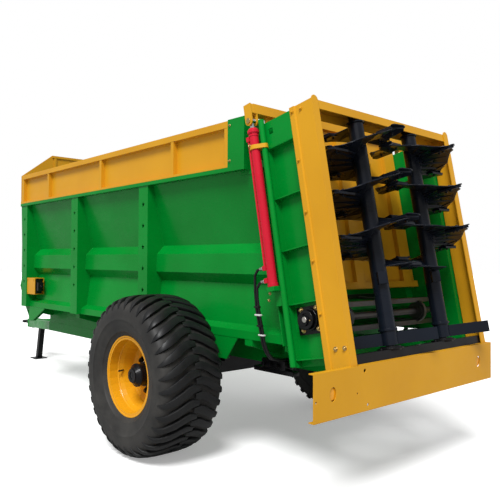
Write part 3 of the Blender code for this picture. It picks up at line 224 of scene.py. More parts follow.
def glossPaint(name, colour, deep, rough=0.32, coat=0.35, shine=0.25, dust=0.012, peel=0.05):
    # the dust is a fine speckle over the paint
    material, tree, shader, coords = newMaterial(name)
    cloud = noiseOf(tree, coords, *paintLook["cloud"])
    tone = rampOf(tree, cloud.outputs["Fac"], list(zip(paintLook["cloudStops"], (deep, colour))))
    fine = noiseOf(tree, coords, *paintLook["fine"])
    speckle = (grey(0.0), grey(dust * paintLook["dustGain"]))
    speck = rampOf(tree, fine.outputs["Fac"], list(zip(paintLook["dustStops"], speckle)))
    dirt = tree.nodes.new("ShaderNodeMix")
    dirt.data_type = "RGBA"
    tree.links.new(speck.outputs["Color"], dirt.inputs["Factor"])
    tree.links.new(tone.outputs["Color"], dirt.inputs["A"])
    dirt.inputs["B"].default_value = paintLook["dustTone"]
    tree.links.new(dirt.outputs["Result"], shader.inputs["Base Color"])
    smear = noiseOf(tree, coords, *paintLook["smear"])
    glints = [grey(rough + offset) for offset in paintLook["sheenOffsets"]]
    sheen = rampOf(tree, smear.outputs["Fac"], list(zip(paintLook["sheenStops"], glints)))
    tree.links.new(sheen.outputs["Color"], shader.inputs["Roughness"])
    shader.inputs["Specular IOR Level"].default_value = shine
    shader.inputs["IOR"].default_value = paintLook["bending"]
    shader.inputs["Coat Weight"].default_value = coat
    shader.inputs["Coat Roughness"].default_value = paintLook["coatRough"]
    orange = noiseOf(tree, coords, *paintLook["orange"])
    bumpOf(tree, shader, orange.outputs["Fac"], peel, paintLook["orangeDepth"])
    return material


steelLook = {
    "grain": (5, 0.6),
    "patch": (5, 4, 0.6),
    "rustStops": (0.5, 0.72),
    "rustTone": (0.16, 0.07, 0.03, 1),
    "dullStops": (0.3, 0.8),
    "dullOffsets": (-0.08, 0.15),
    "bump": (0.08, 0.001),
}


def bareSteel(name, colour, rough, rust=0.2, scale=60):
    material, tree, shader, coords = newMaterial(name)
    grain = noiseOf(tree, coords, scale, *steelLook["grain"])
    patch = noiseOf(tree, coords, *steelLook["patch"])
    tones = ((*colour, 1), steelLook["rustTone"])
    rusty = rampOf(tree, patch.outputs["Fac"], list(zip(steelLook["rustStops"], tones)))
    mix = tree.nodes.new("ShaderNodeMix")
    mix.data_type = "RGBA"
    mix.inputs["Factor"].default_value = rust
    mix.inputs["A"].default_value = (*colour, 1)
    tree.links.new(rusty.outputs["Color"], mix.inputs["B"])
    tree.links.new(mix.outputs["Result"], shader.inputs["Base Color"])
    worn = [grey(rough + offset) for offset in steelLook["dullOffsets"]]
    dull = rampOf(tree, grain.outputs["Fac"], list(zip(steelLook["dullStops"], worn)))
    tree.links.new(dull.outputs["Color"], shader.inputs["Roughness"])
    shader.inputs["Metallic"].default_value = 1.0
    bumpOf(tree, shader, grain.outputs["Fac"], *steelLook["bump"])
    return material


rubberLook = {
    "cloud": (3.5, 5, 0.65),
    "cloudStops": (0.35, 0.8),
    "paleGain": (0.20, 0.19, 0.17),
    "fine": (130, 4, 0.6),
    "dullStops": (0.3, 0.7),
    "dullOffsets": (-0.1, 0.1),
    "shine": 0.30,
    "bump": (0.12, 0.0015),
}


def blackRubber(name, colour, rough, dusty=0.25):
    material, tree, shader, coords = newMaterial(name)
    cloud = noiseOf(tree, coords, *rubberLook["cloud"])
    pale = tuple(channel + gain * dusty for channel, gain in zip(colour, rubberLook["paleGain"]))
    tone = rampOf(tree, cloud.outputs["Fac"], list(zip(rubberLook["cloudStops"], (colour, pale))))
    tree.links.new(tone.outputs["Color"], shader.inputs["Base Color"])
    fine = noiseOf(tree, coords, *rubberLook["fine"])
    worn = [grey(rough + offset) for offset in rubberLook["dullOffsets"]]
    dull = rampOf(tree, cloud.outputs["Fac"], list(zip(rubberLook["dullStops"], worn)))
    tree.links.new(dull.outputs["Color"], shader.inputs["Roughness"])
    shader.inputs["Specular IOR Level"].default_value = rubberLook["shine"]
    bumpOf(tree, shader, fine.outputs["Fac"], *rubberLook["bump"])
    return material


floorLook = {"dim": 0.45, "bright": 0.93, "glow": 0.30, "rough": 0.8}


def plainFloor(name):
    # bright where the camera sees it, and dimmer as a mirror for the machine's undersides
    material, tree, shader, _ = newMaterial(name)
    seen = tree.nodes.new("ShaderNodeLightPath")
    tones = [(0.0, grey(floorLook["dim"])), (1.0, grey(floorLook["bright"]))]
    tone = rampOf(tree, seen.outputs["Is Camera Ray"], tones)
    tree.links.new(tone.outputs["Color"], shader.inputs["Base Color"])
    lift = tree.nodes.new("ShaderNodeMath")
    lift.operation = "MULTIPLY"
    lift.inputs[1].default_value = floorLook["glow"]
    tree.links.new(seen.outputs["Is Camera Ray"], lift.inputs[0])
    shader.inputs["Emission Color"].default_value = (1, 1, 1, 1)
    tree.links.new(lift.outputs["Value"], shader.inputs["Emission Strength"])
    shader.inputs["Roughness"].default_value = floorLook["rough"]
    shader.inputs["Specular IOR Level"].default_value = 0.0
    return material


finish = {
    "greenGloss": glossPaint("greenGloss", (0.0, 0.255, 0.028), (0.0, 0.205, 0.020), 0.28, 0.07, 0.17),
    "yellowSatin": glossPaint("yellowSatin", (0.70, 0.345, 0.014), (0.64, 0.305, 0.012), 0.38, 0.08),
    "rimYellow": glossPaint("rimYellow", (0.80, 0.36, 0.010), (0.70, 0.31, 0.008), 0.33, 0.12),
    "redGloss": glossPaint("redGloss", (0.62, 0.008, 0.030), (0.52, 0.006, 0.024), 0.28, 0.25),
    "beaterBlue": glossPaint(
        "beaterBlue", (0.006, 0.009, 0.016), (0.003, 0.004, 0.008), 0.30, 0.15, 0.25, 0.004
    ),
    "blackGloss": glossPaint(
        "blackGloss", (0.006, 0.006, 0.007), (0.004, 0.004, 0.005), 0.34, 0.15, 0.25, 0.004
    ),
    "boltSteel": bareSteel("boltSteel", (0.52, 0.50, 0.46), 0.32, 0.25, 90),
    "rodChrome": bareSteel("rodChrome", (0.62, 0.62, 0.62), 0.16, 0.0, 200),
    "chainSteel": bareSteel("chainSteel", (0.12, 0.115, 0.11), 0.45, 0.35, 40),
    "tyreRubber": blackRubber("tyreRubber", (0.0055, 0.006, 0.007), 0.50, 0.05),
    "sidewallRubber": blackRubber("sidewallRubber", (0.017, 0.0165, 0.016), 0.60, 0.20),
    "hoseRubber": blackRubber("hoseRubber", (0.005, 0.005, 0.006), 0.40, 0.02),
    "tieWhite": glossPaint("tieWhite", (0.72, 0.72, 0.70), (0.62, 0.62, 0.60), 0.4, 0.1),
    "boltGold": bareSteel("boltGold", (0.58, 0.42, 0.17), 0.34, 0.1, 90),
    "amberLens": glossPaint("amberLens", (0.90, 0.40, 0.008), (0.80, 0.32, 0.006), 0.15, 0.5, 0.5, 0.0),
    "floorPale": plainFloor("floorPale"),
}
slotFinish = {
    "green_paint": "greenGloss",
    "yellow_paint": "yellowSatin",
    "red_paint": "redGloss",
    "beater_paint": "beaterBlue",
    "black_paint": "blackGloss",
    "bright_steel": "rodChrome",
    "worn_steel": "chainSteel",
    "tyre_rubber": "tyreRubber",
    "hose_rubber": "hoseRubber",
}


def paintFrame():
    wanted = {part["node"]: part["material_slot"] for part in frame["record"]["subparts"]}
    for name, node in nodes.items():
        material = finish[slotFinish[wanted[name]]]
        if name.startswith("rim_"):
            material = finish["rimYellow"]
        if name.startswith("conveyor_shaft"):
            material = finish["chainSteel"]
        node.data.materials.clear()
        node.data.materials.append(material)
        for face in node.data.polygons:
            face.material_index = 0
    print("frame painted:", len(nodes), "nodes")


# helpers that start, shape, join and finish a piece
def clearSelection():
    for thing in bpy.context.selected_objects:
        thing.select_set(False)
    bpy.context.view_layer.objects.active = None


def pick(thing):
    clearSelection()
    thing.select_set(True)
    bpy.context.view_layer.objects.active = thing


def addCube(name, frameOf, low, high):
    # a block between two corners of a frame, its place in its mesh
    clearSelection()
    bpy.ops.mesh.primitive_cube_add(size=1)
    block = bpy.context.object
    block.name = name
    low, high = Vector(low), Vector(high)
    size = Matrix.Diagonal((*(high - low), 1))
    block.data.transform(frameOf @ Matrix.Translation((low + high) / 2) @ size)
    return block


def addRod(name, frameOf, radius, length, sideCount=16, base=0.0):
    # a round bar along the frame's Z
    clearSelection()
    bpy.ops.mesh.primitive_cylinder_add(vertices=sideCount, radius=radius, depth=length)
    rod = bpy.context.object
    rod.name = name
    rod.data.transform(frameOf @ Matrix.Translation((0, 0, base + length / 2)))
    return rod


def applyModifier(thing, kind, **settings):
    pick(thing)
    modifier = thing.modifiers.new(kind.lower(), kind)
    for key, value in settings.items():
        setattr(modifier, key, value)
    bpy.ops.object.modifier_apply(modifier=modifier.name)


def softEdges(thing, width, segments=2):
    limit = math.radians(35)
    applyModifier(thing, "BEVEL", width=width, segments=segments, limit_method="ANGLE", angle_limit=limit)


def joinAs(name, things):
    clearSelection()
    for thing in things:
        thing.select_set(True)
    bpy.context.view_layer.objects.active = things[0]
    if len(things) > 1:
        bpy.ops.object.join()
    joined = bpy.context.object
    joined.name = name
    joined.data.name = name
    return joined


def finishPiece(thing, body, material, smoothAngle=35):
    pick(thing)
    bpy.ops.object.transform_apply(location=True, rotation=True, scale=True)
    bpy.ops.object.shade_smooth_by_angle(angle=math.radians(smoothAngle))
    thing.data.materials.clear()
    thing.data.materials.append(finish[material])
    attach(thing, body)
    return thing


def outwardNormals(thing):
    pick(thing)
    bpy.ops.object.mode_set(mode="EDIT")
    bpy.ops.mesh.select_all(action="SELECT")
    bpy.ops.mesh.remove_doubles(threshold=0.00005)
    bpy.ops.mesh.normals_make_consistent(inside=False)
    bpy.ops.object.mode_set(mode="OBJECT")


def spinProfile(name, profile, frameOf, steps):
    # turns a closed profile (radius, height) about the frame's Z
    clearSelection()
    bpy.ops.mesh.primitive_circle_add(vertices=len(profile), radius=1)
    ring = bpy.context.object
    ring.name = name
    for vertex, (radius, height) in zip(ring.data.vertices, profile):
        vertex.co = (radius, 0, height)
    pick(ring)
    bpy.ops.object.mode_set(mode="EDIT")
    bpy.ops.mesh.select_all(action="SELECT")
    bpy.ops.mesh.spin(steps=steps, angle=math.tau, center=(0, 0, 0), axis=(0, 0, 1))
    bpy.ops.object.mode_set(mode="OBJECT")
    outwardNormals(ring)
    ring.data.transform(frameOf)
    return ring


def facing(place, way):
    # a frame at a place, whose Z runs the given way
    turn = Vector(way).to_track_quat("Z", "Y").to_matrix().to_4x4()
    return Matrix.Translation(place) @ turn


# a hexagon bolt head on its washer, with the end of its stud
boltShape = {
    "headRadius": 0.0165 / math.sqrt(3) * 1.15,
    "high": 0.010,
    "washer": 0.0155,
    "washerHigh": 0.0025,
    "stud": 0.0065,
    "studHigh": 0.016,
    "soft": 0.0012,
}


def addBolt(size):
    whole = Matrix.Identity(4)
    sized = {key: value * size for key, value in boltShape.items()}
    washer = addRod("washer", whole, sized["washer"], sized["washerHigh"])
    head = addRod("head", whole, sized["headRadius"], sized["high"], 6, sized["washerHigh"])
    softEdges(head, sized["soft"], 1)
    stud = addRod("stud", whole, sized["stud"], sized["studHigh"], 10)
    return joinAs("bolt", [washer, head, stud])


def boltGroup(name, places, body, material, size=1.0):
    # one bolt is modelled, and the rest are copies of its mesh
    first = addBolt(size)
    made = []
    for place, way in places:
        copy = first.copy()
        copy.data = first.data.copy()
        bpy.context.scene.collection.objects.link(copy)
        copy.data.transform(facing(place, way))
        made.append(copy)
    bpy.data.objects.remove(first, do_unlink=True)
    group = joinAs(name, made)
    return finishPiece(group, body, material)


# the tyre: its carcass, and a chevron lug that is repeated round each half
tyre = {
    "lugs": 36,
    "depth": 0.026,
    "carcassSteps": 96,
    "carcassSmooth": 50,
    # each side of a lug draws in by this at the end over the middle
    "endTaper": 0.010,
    # how far the lugs reach into the carcass: past the shoulder less inwards, and also sideways
    "sunk": 0.004,
    "shoulder": 0.20,
    "shoulderInward": 0.7,
    "shoulderSideways": 0.8,
    "lugSoft": 0.0035,
    "lugSmooth": 30,
    # the tread's outer line, as (across, radius), from just past the middle to the sidewall
    "line": [
        (-0.022, 0.6095), (0.040, 0.6095), (0.085, 0.6090), (0.135, 0.606), (0.185, 0.598),
        (0.225, 0.583), (0.250, 0.562), (0.264, 0.535), (0.2705, 0.505),
    ],
    # how far round each of those points lies, and the lug's width there, in metres
    "sweep": [0.085, 0.085, 0.066, 0.034, 0.008, -0.012, -0.026, -0.036, -0.042],
    "wide": [0.058, 0.060, 0.066, 0.068, 0.062, 0.052, 0.040, 0.026, 0.012],
    "depths": [1, 1, 1, 1, 0.95, 0.85, 0.65, 0.4, 0.2],
    # the carcass's outer side, as (radius, across), from the bead to the tread's middle
    "shell": [
        (0.2868, 0.200), (0.3055, 0.2022), (0.3055, 0.214), (0.318, 0.224), (0.335, 0.233),
        (0.338, 0.2405), (0.345, 0.242), (0.37, 0.255), (0.40, 0.2645), (0.425, 0.2685),
        (0.428, 0.2715), (0.434, 0.2722), (0.438, 0.2705), (0.47, 0.2722), (0.505, 0.2685),
        (0.533, 0.257), (0.553, 0.236), (0.566, 0.205), (0.5755, 0.16), (0.581, 0.10), (0.5835, 0.04),
    ],
}


def makeTyre(side, sign):
    place = wheelMiddle[side]
    frameOf = Matrix.Translation(place) @ Matrix.Rotation(-sign * math.pi / 2, 4, "X")
    shell = tyre["shell"]
    profile = shell + [(radius, -across) for radius, across in reversed(shell)]
    carcass = spinProfile(f"tyreCarcass_{side}", profile, frameOf, tyre["carcassSteps"])
    finishPiece(carcass, f"wheel_{side}", "sidewallRubber", tyre["carcassSmooth"])
    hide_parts(f"tyre_{side}")

    rows = []
    for half in (1, -1):
        clearSelection()
        count = len(tyre["line"])
        bpy.ops.mesh.primitive_grid_add(x_subdivisions=count - 1, y_subdivisions=2, size=1)
        lug = bpy.context.object
        lug.name = f"treadLug_{side}"
        ordered = sorted(lug.data.vertices, key=lambda v: (round(v.co.x, 4), v.co.y))
        turnStart = math.pi / tyre["lugs"] if half < 0 else 0
        depthOf = {}
        for k, (across, radius) in enumerate(tyre["line"]):
            for j in range(3):
                along = tyre["sweep"][k] + (j - 1) * tyre["wide"][k] / 2
                if k == 0:
                    along -= (j - 1) * tyre["endTaper"]
                angle = turnStart + along / wheelRadius
                vertex = ordered[k * 3 + j]
                vertex.co = (radius * math.cos(angle), radius * math.sin(angle), half * across)
                depthOf[vertex.index] = tyre["depths"][k]
        pick(lug)
        bpy.ops.object.mode_set(mode="EDIT")
        bpy.ops.mesh.select_all(action="SELECT")
        bpy.ops.mesh.extrude_region_move(TRANSFORM_OT_translate={"value": (0, 0, 0)})
        bpy.ops.object.mode_set(mode="OBJECT")
        # the extruded copy sinks into the carcass, and under the shoulder also towards the middle
        paired = {}
        for vertex in lug.data.vertices:
            key = tuple(round(c, 6) for c in vertex.co)
            paired.setdefault(key, []).append(vertex)
        for group in paired.values():
            if len(group) < 2:
                continue
            upper, lower = sorted(group, key=lambda v: v.index)[:2]
            radius = math.hypot(upper.co.x, upper.co.y)
            angle = math.atan2(upper.co.y, upper.co.x)
            across = abs(upper.co.z)
            part = depthOf[upper.index if upper.index in depthOf else lower.index]
            sink = tyre["depth"] + tyre["sunk"]
            inward, sideways = sink * part, 0
            if across >= tyre["shoulder"]:
                inward, sideways = inward * tyre["shoulderInward"], sink * tyre["shoulderSideways"]
            base = radius - inward
            level = math.copysign(across - sideways, half)
            lower.co = (base * math.cos(angle), base * math.sin(angle), level)
        outwardNormals(lug)
        softEdges(lug, tyre["lugSoft"])
        clearSelection()
        bpy.ops.object.empty_add()
        step = bpy.context.object
        step.rotation_euler = (0, 0, math.tau / tyre["lugs"])
        applyArray(lug, step, tyre["lugs"])
        bpy.data.objects.remove(step, do_unlink=True)
        lug.data.transform(frameOf)
        rows.append(lug)
    tread = joinAs(f"tyreTread_{side}", rows)
    outwardNormals(tread)
    finishPiece(tread, f"wheel_{side}", "tyreRubber", tyre["lugSmooth"])
    print("tyre", side, "made")


def applyArray(thing, step, count):
    pick(thing)
    modifier = thing.modifiers.new("copies", "ARRAY")
    modifier.count = count
    modifier.use_relative_offset = False
    modifier.use_object_offset = True
    modifier.offset_object = step
    bpy.context.view_layer.update()
    bpy.ops.object.modifier_apply(modifier=modifier.name)


def plateOf(name, corners, thick, frameOf, bevel=0.0):
    clearSelection()
    bpy.ops.mesh.primitive_circle_add(vertices=len(corners), radius=1, fill_type="NGON")
    plate = bpy.context.object
    plate.name = name
    for vertex, (x, y) in zip(plate.data.vertices, corners):
        vertex.co = (x, y, 0)
    applyModifier(plate, "SOLIDIFY", thickness=thick, offset=0)
    if bevel:
        softEdges(plate, bevel, 1)
    plate.data.transform(frameOf)
    return plate


def ring(name, frameOf, inner, outer, low, high, steps=48, soft=0.0015):
    profile = [(inner, low), (outer, low), (outer, high), (inner, high)]
    made = spinProfile(name, profile, frameOf, steps)
    if soft:
        softEdges(made, soft, 1)
    return made


# each beater stands on its own tube, this far from the middle plane
beater = {
    "y": 0.33,
    "flightRadius": 0.27,
    "collarInner": 0.054,
    "collarOuter": 0.064,
    "collarLevels": ((-0.690, -0.672), (0.762, 0.774)),
    "steps": 40,
    "seatInner": 0.0705,
    "seatOuter": 0.088,
    "seatLevels": (-0.8095, -0.800),
    "seatBolts": 6,
    "seatBoltLevel": -0.8105,
    "seatBoltCircle": 0.105,
    # the base beam is narrow, so the bolts' circle is squashed across it
    "seatBoltSquash": 0.42,
    "seatBoltSize": 0.8,
}

# each claw: a bolted blade on the flight's plate, with a hooked tip
claw = {
    "perTurn": 4,
    "turns": 3.4,
    "pitch": 0.30,
    "top": 0.76,
    "shape": [
        (0.188, -0.046), (0.300, -0.046), (0.322, -0.058), (0.340, -0.052), (0.368, 0.008), (0.366, 0.030),
        (0.352, 0.044), (0.344, 0.028), (0.318, 0.040), (0.300, 0.034), (0.188, 0.040),
    ],
    "thick": 0.008,
    "soft": 0.0012,
    "lift": 0.0125,
    # the flight's plate swells out to each claw, so its edge is scalloped between them
    "scallop": [
        (0.205, -0.150), (0.2255, -0.148), (0.2480, -0.118), (0.268, -0.092), (0.288, -0.071),
        (0.322, -0.052), (0.322, 0.045), (0.288, 0.064), (0.268, 0.085), (0.248, 0.112),
        (0.2255, 0.142), (0.205, 0.145),
    ],
    "scallopThick": 0.0065,
    "scallopSoft": 0.001,
    # the first scallop stops where the flight begins
    "firstLimit": 0.05,
    "firstCorner": (0.205, 0.045),
    "smooth": 30,
    "boltsAt": [(0.225, -0.018), (0.272, 0.012)],
    "boltSize": 0.85,
    "boltSunk": 0.0005,
    "flightUnderside": -0.0075,
}


def makeClaws(side, sign):
    hand = Matrix.Diagonal((1, sign, 1, 1))
    frameOf = leanFrame @ Matrix.Translation((0, sign * beater["y"], 0))
    shift = 0 if sign > 0 else -claw["pitch"] / claw["perTurn"] / 2
    slope = math.atan(claw["pitch"] / (math.tau * beater["flightRadius"]))
    up = Vector((0, 0, 1))
    surface = claw["thick"] / 2 - claw["boltSunk"]
    blades, bolts = [], []
    for count in range(int(claw["turns"] * claw["perTurn"]) + 1):
        part = count / claw["perTurn"]
        s = claw["top"] - part * claw["pitch"] + shift
        level = frameOf @ hand @ Matrix.Translation((0, 0, s)) @ Matrix.Rotation(-part * math.tau, 4, "Z")
        place = level @ Matrix.Rotation(-slope, 4, "X")
        # the topmost claw sits under the flight, clear of the beam over it
        under = count == 0 and sign > 0
        flat = place @ Matrix.Translation((0, 0, -claw["lift"] if under else claw["lift"]))
        edge = claw["scallop"]
        if count == 0:
            edge = [(x, y) for x, y in edge if y < claw["firstLimit"]] + [claw["firstCorner"]]
        blades.append(plateOf("claw", claw["shape"], claw["thick"], flat, claw["soft"]))
        along = level @ Matrix.Rotation(slope, 4, "X")
        blades.append(plateOf("scallop", edge, claw["scallopThick"], along, claw["scallopSoft"]))
        for x, y in claw["boltsAt"]:
            if under:
                foot = flat @ Vector((x, y, -surface))
            else:
                bolts.append((flat @ Vector((x, y, surface)), flat.to_3x3() @ up))
                foot = place @ Vector((x, y, claw["flightUnderside"]))
            bolts.append((foot, -(place.to_3x3() @ up)))
    made = joinAs(f"beaterClaws_{side}", blades)
    outwardNormals(made)
    finishPiece(made, f"beater_{side}", "beaterBlue", claw["smooth"])
    boltGroup(f"clawBolts_{side}", bolts, f"beater_{side}", "beaterBlue", claw["boltSize"])


def makeBeaterFittings(side, sign):
    y = sign * beater["y"]
    frameOf = leanFrame @ Matrix.Translation((0, y, 0))
    collars = [
        ring("collar", frameOf, beater["collarInner"], beater["collarOuter"], low, high, beater["steps"])
        for low, high in beater["collarLevels"]
    ]
    finishPiece(joinAs(f"beaterCollars_{side}", collars), f"beater_{side}", "beaterBlue")
    low, high = beater["seatLevels"]
    seat = ring("seat", frameOf, beater["seatInner"], beater["seatOuter"], low, high, beater["steps"])
    finishPiece(joinAs(f"beaterSeat_{side}", [seat]), "chassis", "blackGloss")
    up = leanFrame.to_3x3() @ Vector((0, 0, 1))
    circle = beater["seatBoltCircle"]
    places = []
    for k in range(beater["seatBolts"]):
        angle = math.tau * (k + 0.5) / beater["seatBolts"]
        u = circle * math.cos(angle) * beater["seatBoltSquash"]
        places.append((leaned(u, y + circle * math.sin(angle), beater["seatBoltLevel"]), up))
    size = beater["seatBoltSize"]
    boltGroup(f"beaterSeatBolts_{side}", places, "chassis", "blackGloss", size)


# wheel details, as radii and heights on the wheel's axis: nuts round the hub, its bands and
# bolts, the rim's rolled edge, the weld to the disc, a drop step, and the valve
hub = {
    "nuts": 10,
    "nutCircle": 0.145,
    "nutFace": 0.0055,
    "nutSize": 2.0,
    # inner and outer radius, low and high level
    "bands": [
        (0.0835, 0.093, 0.058, 0.070),
        (0.0800, 0.0885, 0.125, 0.139),
        (0.028, 0.052, 0.1690, 0.1775),
    ],
    "bolts": 8,
    "boltCircle": 0.0955,
    "boltFace": 0.0405,
    "boltSize": 0.6,
    "steps": 96,
    "rimSmooth": 50,
    "roll": [
        (0.2905, 0.2055), (0.2965, 0.2012), (0.3035, 0.2035), (0.3052, 0.2100), (0.3035, 0.2155),
        (0.2965, 0.2165), (0.2905, 0.2130),
    ],
    "weld": [(0.2370, 0.0180), (0.2480, 0.0310), (0.2450, 0.0360), (0.2350, 0.0260)],
    "step": [(0.2690, 0.1240), (0.2755, 0.1300), (0.2770, 0.1420), (0.2730, 0.1440), (0.2655, 0.1330)],
    "valvePlace": (0.252, 0, 0.10),
    "valveTilt": -0.35,
    "valveSides": 12,
    "stemRadius": 0.006,
    "stemLength": 0.05,
    "capRadius": 0.0078,
    "capLength": 0.014,
    "capBase": 0.04,
}


def makeHub(side, sign):
    frameOf = Matrix.Translation(wheelMiddle[side]) @ Matrix.Rotation(-sign * math.pi / 2, 4, "X")
    body = f"wheel_{side}"
    out = frameOf.to_3x3() @ Vector((0, 0, 1))

    def circleOf(count, radius, height, start):
        angles = [math.tau * (k + start) / count for k in range(count)]
        return [
            (frameOf @ Vector((radius * math.cos(angle), radius * math.sin(angle), height)), out)
            for angle in angles
        ]

    nuts = circleOf(hub["nuts"], hub["nutCircle"], hub["nutFace"], 0)
    boltGroup(f"wheelNuts_{side}", nuts, body, "blackGloss", hub["nutSize"])
    bands = [ring("band", frameOf, *band) for band in hub["bands"]]
    finishPiece(joinAs(f"hubBands_{side}", bands), body, "blackGloss")
    bolts = circleOf(hub["bolts"], hub["boltCircle"], hub["boltFace"], 0.5)
    boltGroup(f"hubBolts_{side}", bolts, body, "boltSteel", hub["boltSize"])
    rolls = [spinProfile(key, hub[key], frameOf, hub["steps"]) for key in ("roll", "weld", "step")]
    finishPiece(joinAs(f"rimEdge_{side}", rolls), body, "rimYellow", hub["rimSmooth"])
    tilt = Matrix.Rotation(hub["valveTilt"], 4, "Y")
    valve = frameOf @ Matrix.Translation(hub["valvePlace"]) @ tilt
    stem = addRod("stem", valve, hub["stemRadius"], hub["stemLength"], hub["valveSides"])
    cap = addRod("cap", valve, hub["capRadius"], hub["capLength"], hub["valveSides"], hub["capBase"])
    finishPiece(joinAs(f"valveStem_{side}", [stem, cap]), body, "hoseRubber")
    print("hub", side, "made")


# the rear conveyor shaft's bearing, on its flange: housing rings, the shaft's end and bolts
bearing = {
    "u": 0.240,
    "s": -0.555,
    "flangeY": 0.8085,
    # inner and outer radius, low and high level
    "rings": [(0.061, 0.074, 0.0, 0.020), (0.040, 0.0605, 0.0372, 0.0450)],
    "endRadius": 0.019,
    "endLength": 0.012,
    "endBase": 0.0478,
    "endSides": 24,
    "endSoft": 0.002,
    "nippleRadius": 0.004,
    "nippleLength": 0.022,
    "nippleSides": 8,
    "nippleTilt": 0.7,
    "nippleBase": 0.062,
    "boltReach": 0.066,
    "boltSize": 1.15,
}


def makeBearing(side, sign):
    u, s, y = bearing["u"], bearing["s"], sign * bearing["flangeY"]
    out = Vector((0, sign, 0))
    frameOf = facing(leaned(u, y, s), out)
    rings = [ring("housing", frameOf, *sizes) for sizes in bearing["rings"]]
    finishPiece(joinAs(f"bearingHousing_{side}", rings), "chassis", "blackGloss")
    radius, length, base = bearing["endRadius"], bearing["endLength"], bearing["endBase"]
    end = addRod("shaftEnd", frameOf, radius, length, bearing["endSides"], base)
    softEdges(end, bearing["endSoft"], 1)
    finishPiece(joinAs(f"bearingShaftEnd_{side}", [end]), "chassis", "boltSteel")
    tilted = frameOf @ Matrix.Rotation(bearing["nippleTilt"], 4, "Y")
    radius, length, base = bearing["nippleRadius"], bearing["nippleLength"], bearing["nippleBase"]
    nipple = addRod("nipple", tilted, radius, length, bearing["nippleSides"], base)
    finishPiece(joinAs(f"greaseNipple_{side}", [nipple]), "chassis", "boltGold")
    reach = bearing["boltReach"]
    places = [(leaned(u + du, y, s + ds), out) for du in (-reach, reach) for ds in (-reach, reach)]
    boltGroup(f"bearingBolts_{side}", places, "chassis", "boltGold", bearing["boltSize"])


# bolts through plates: (u, y, s) on the leaning unit, facing out to the side
plateBolts = {
    "post": [(0.110, 0.8483, s) for s in (0.804, 0.47, 0.123, -0.198, -0.535)],
    "foot": [(0.039, 0.8372, -0.76), (-0.033, 0.8372, -0.76)],
    "postTop": [(0.042, 0.8372, 0.804)],
    "paintedSize": 0.9,
    "bareSize": 1.0,
}


def makePlateBolts(side, sign):
    out = Vector((0, sign, 0))
    post, top, foot = (
        [(leaned(u, sign * y, s), out) for u, y, s in plateBolts[key]] for key in ("post", "postTop", "foot")
    )
    size = plateBolts["paintedSize"]
    boltGroup(f"postBolts_{side}", post, "chassis", "yellowSatin", size)
    boltGroup(f"postTopBolts_{side}", top, "chassis", "yellowSatin", size)
    boltGroup(f"postFootBolts_{side}", foot, "chassis", "boltGold", plateBolts["bareSize"])


# each gate cylinder: hose ends at its ports, rings on the barrel, the eye's pin ends and bolts
cylinder = {
    "u": 0.4447,
    "y": 0.90,
    "hoseU": 0.4880,
    "hoseY": 0.927,
    "hoseLevels": (-0.1775, -0.265),
    "nutRadius": 0.0165,
    "nutLength": 0.014,
    "sleeveRadius": 0.0125,
    "sleeveLength": 0.020,
    "sleeveSides": 16,
    "sleeveBase": 0.012,
    # inner and outer radius, low and high level, steps round
    "rings": [
        (0.0382, 0.0415, 0.766, 0.786, 24),
        (0.0322, 0.0365, -0.309, -0.285, 32),
        (0.0322, 0.0350, 0.742, 0.757, 32),
    ],
    "soft": 0.001,
    "pinLevel": 0.855,
    "pinReach": 0.0335,
    "pinRadius": 0.019,
    "pinLength": 0.006,
    "pinSides": 20,
    "pinSoft": 0.0012,
    "strapBolt": (0.012, 0.9415, 0.675),
    "strapBoltSize": 0.7,
    "bracketBolts": [(-1.039, 0.8645, 1.262), (-1.030, 0.8645, 1.215)],
    "bracketBoltSize": 0.75,
}


def makeCylinderFittings(side, sign):
    out = Vector((0, sign, 0))
    forward = leanFrame.to_3x3() @ Vector((1, 0, 0))
    ends = []
    for s in cylinder["hoseLevels"]:
        frameOf = facing(leaned(cylinder["hoseU"], sign * cylinder["hoseY"], s), forward)
        nut = addRod("nut", frameOf, cylinder["nutRadius"], cylinder["nutLength"], 6)
        softEdges(nut, cylinder["soft"], 1)
        radius, length, base = cylinder["sleeveRadius"], cylinder["sleeveLength"], cylinder["sleeveBase"]
        sleeve = addRod("sleeve", frameOf, radius, length, cylinder["sleeveSides"], base)
        ends += [nut, sleeve]
    finishPiece(joinAs(f"hoseEnds_{side}", ends), "chassis", "boltSteel")
    axis = leanFrame @ Matrix.Translation((cylinder["u"], sign * cylinder["y"], 0))
    rings = [ring("band", axis, *sizes, cylinder["soft"]) for sizes in cylinder["rings"]]
    finishPiece(joinAs(f"cylinderRings_{side}", rings), "chassis", "redGloss")
    pins = []
    for way in (1, -1):
        y = sign * cylinder["y"] + way * cylinder["pinReach"]
        frameOf = facing(leaned(cylinder["u"], y, cylinder["pinLevel"]), (0, way, 0))
        pin = addRod("pin", frameOf, cylinder["pinRadius"], cylinder["pinLength"], cylinder["pinSides"])
        softEdges(pin, cylinder["pinSoft"], 1)
        pins.append(pin)
    finishPiece(joinAs(f"eyePins_{side}", pins), "gate", "boltGold")
    ahead, y, s = cylinder["strapBolt"]
    strap = [(leaned(cylinder["u"] + ahead, sign * y, s), out)]
    boltGroup(f"strapBolt_{side}", strap, "chassis", "boltGold", cylinder["strapBoltSize"])
    bracket = [(at(x, sign * y, z), out) for x, y, z in cylinder["bracketBolts"]]
    boltGroup(
        f"bracketBolts_{side}", bracket, "chassis", "boltGold", cylinder["bracketBoltSize"]
    )
    print("cylinder fittings", side, "made")


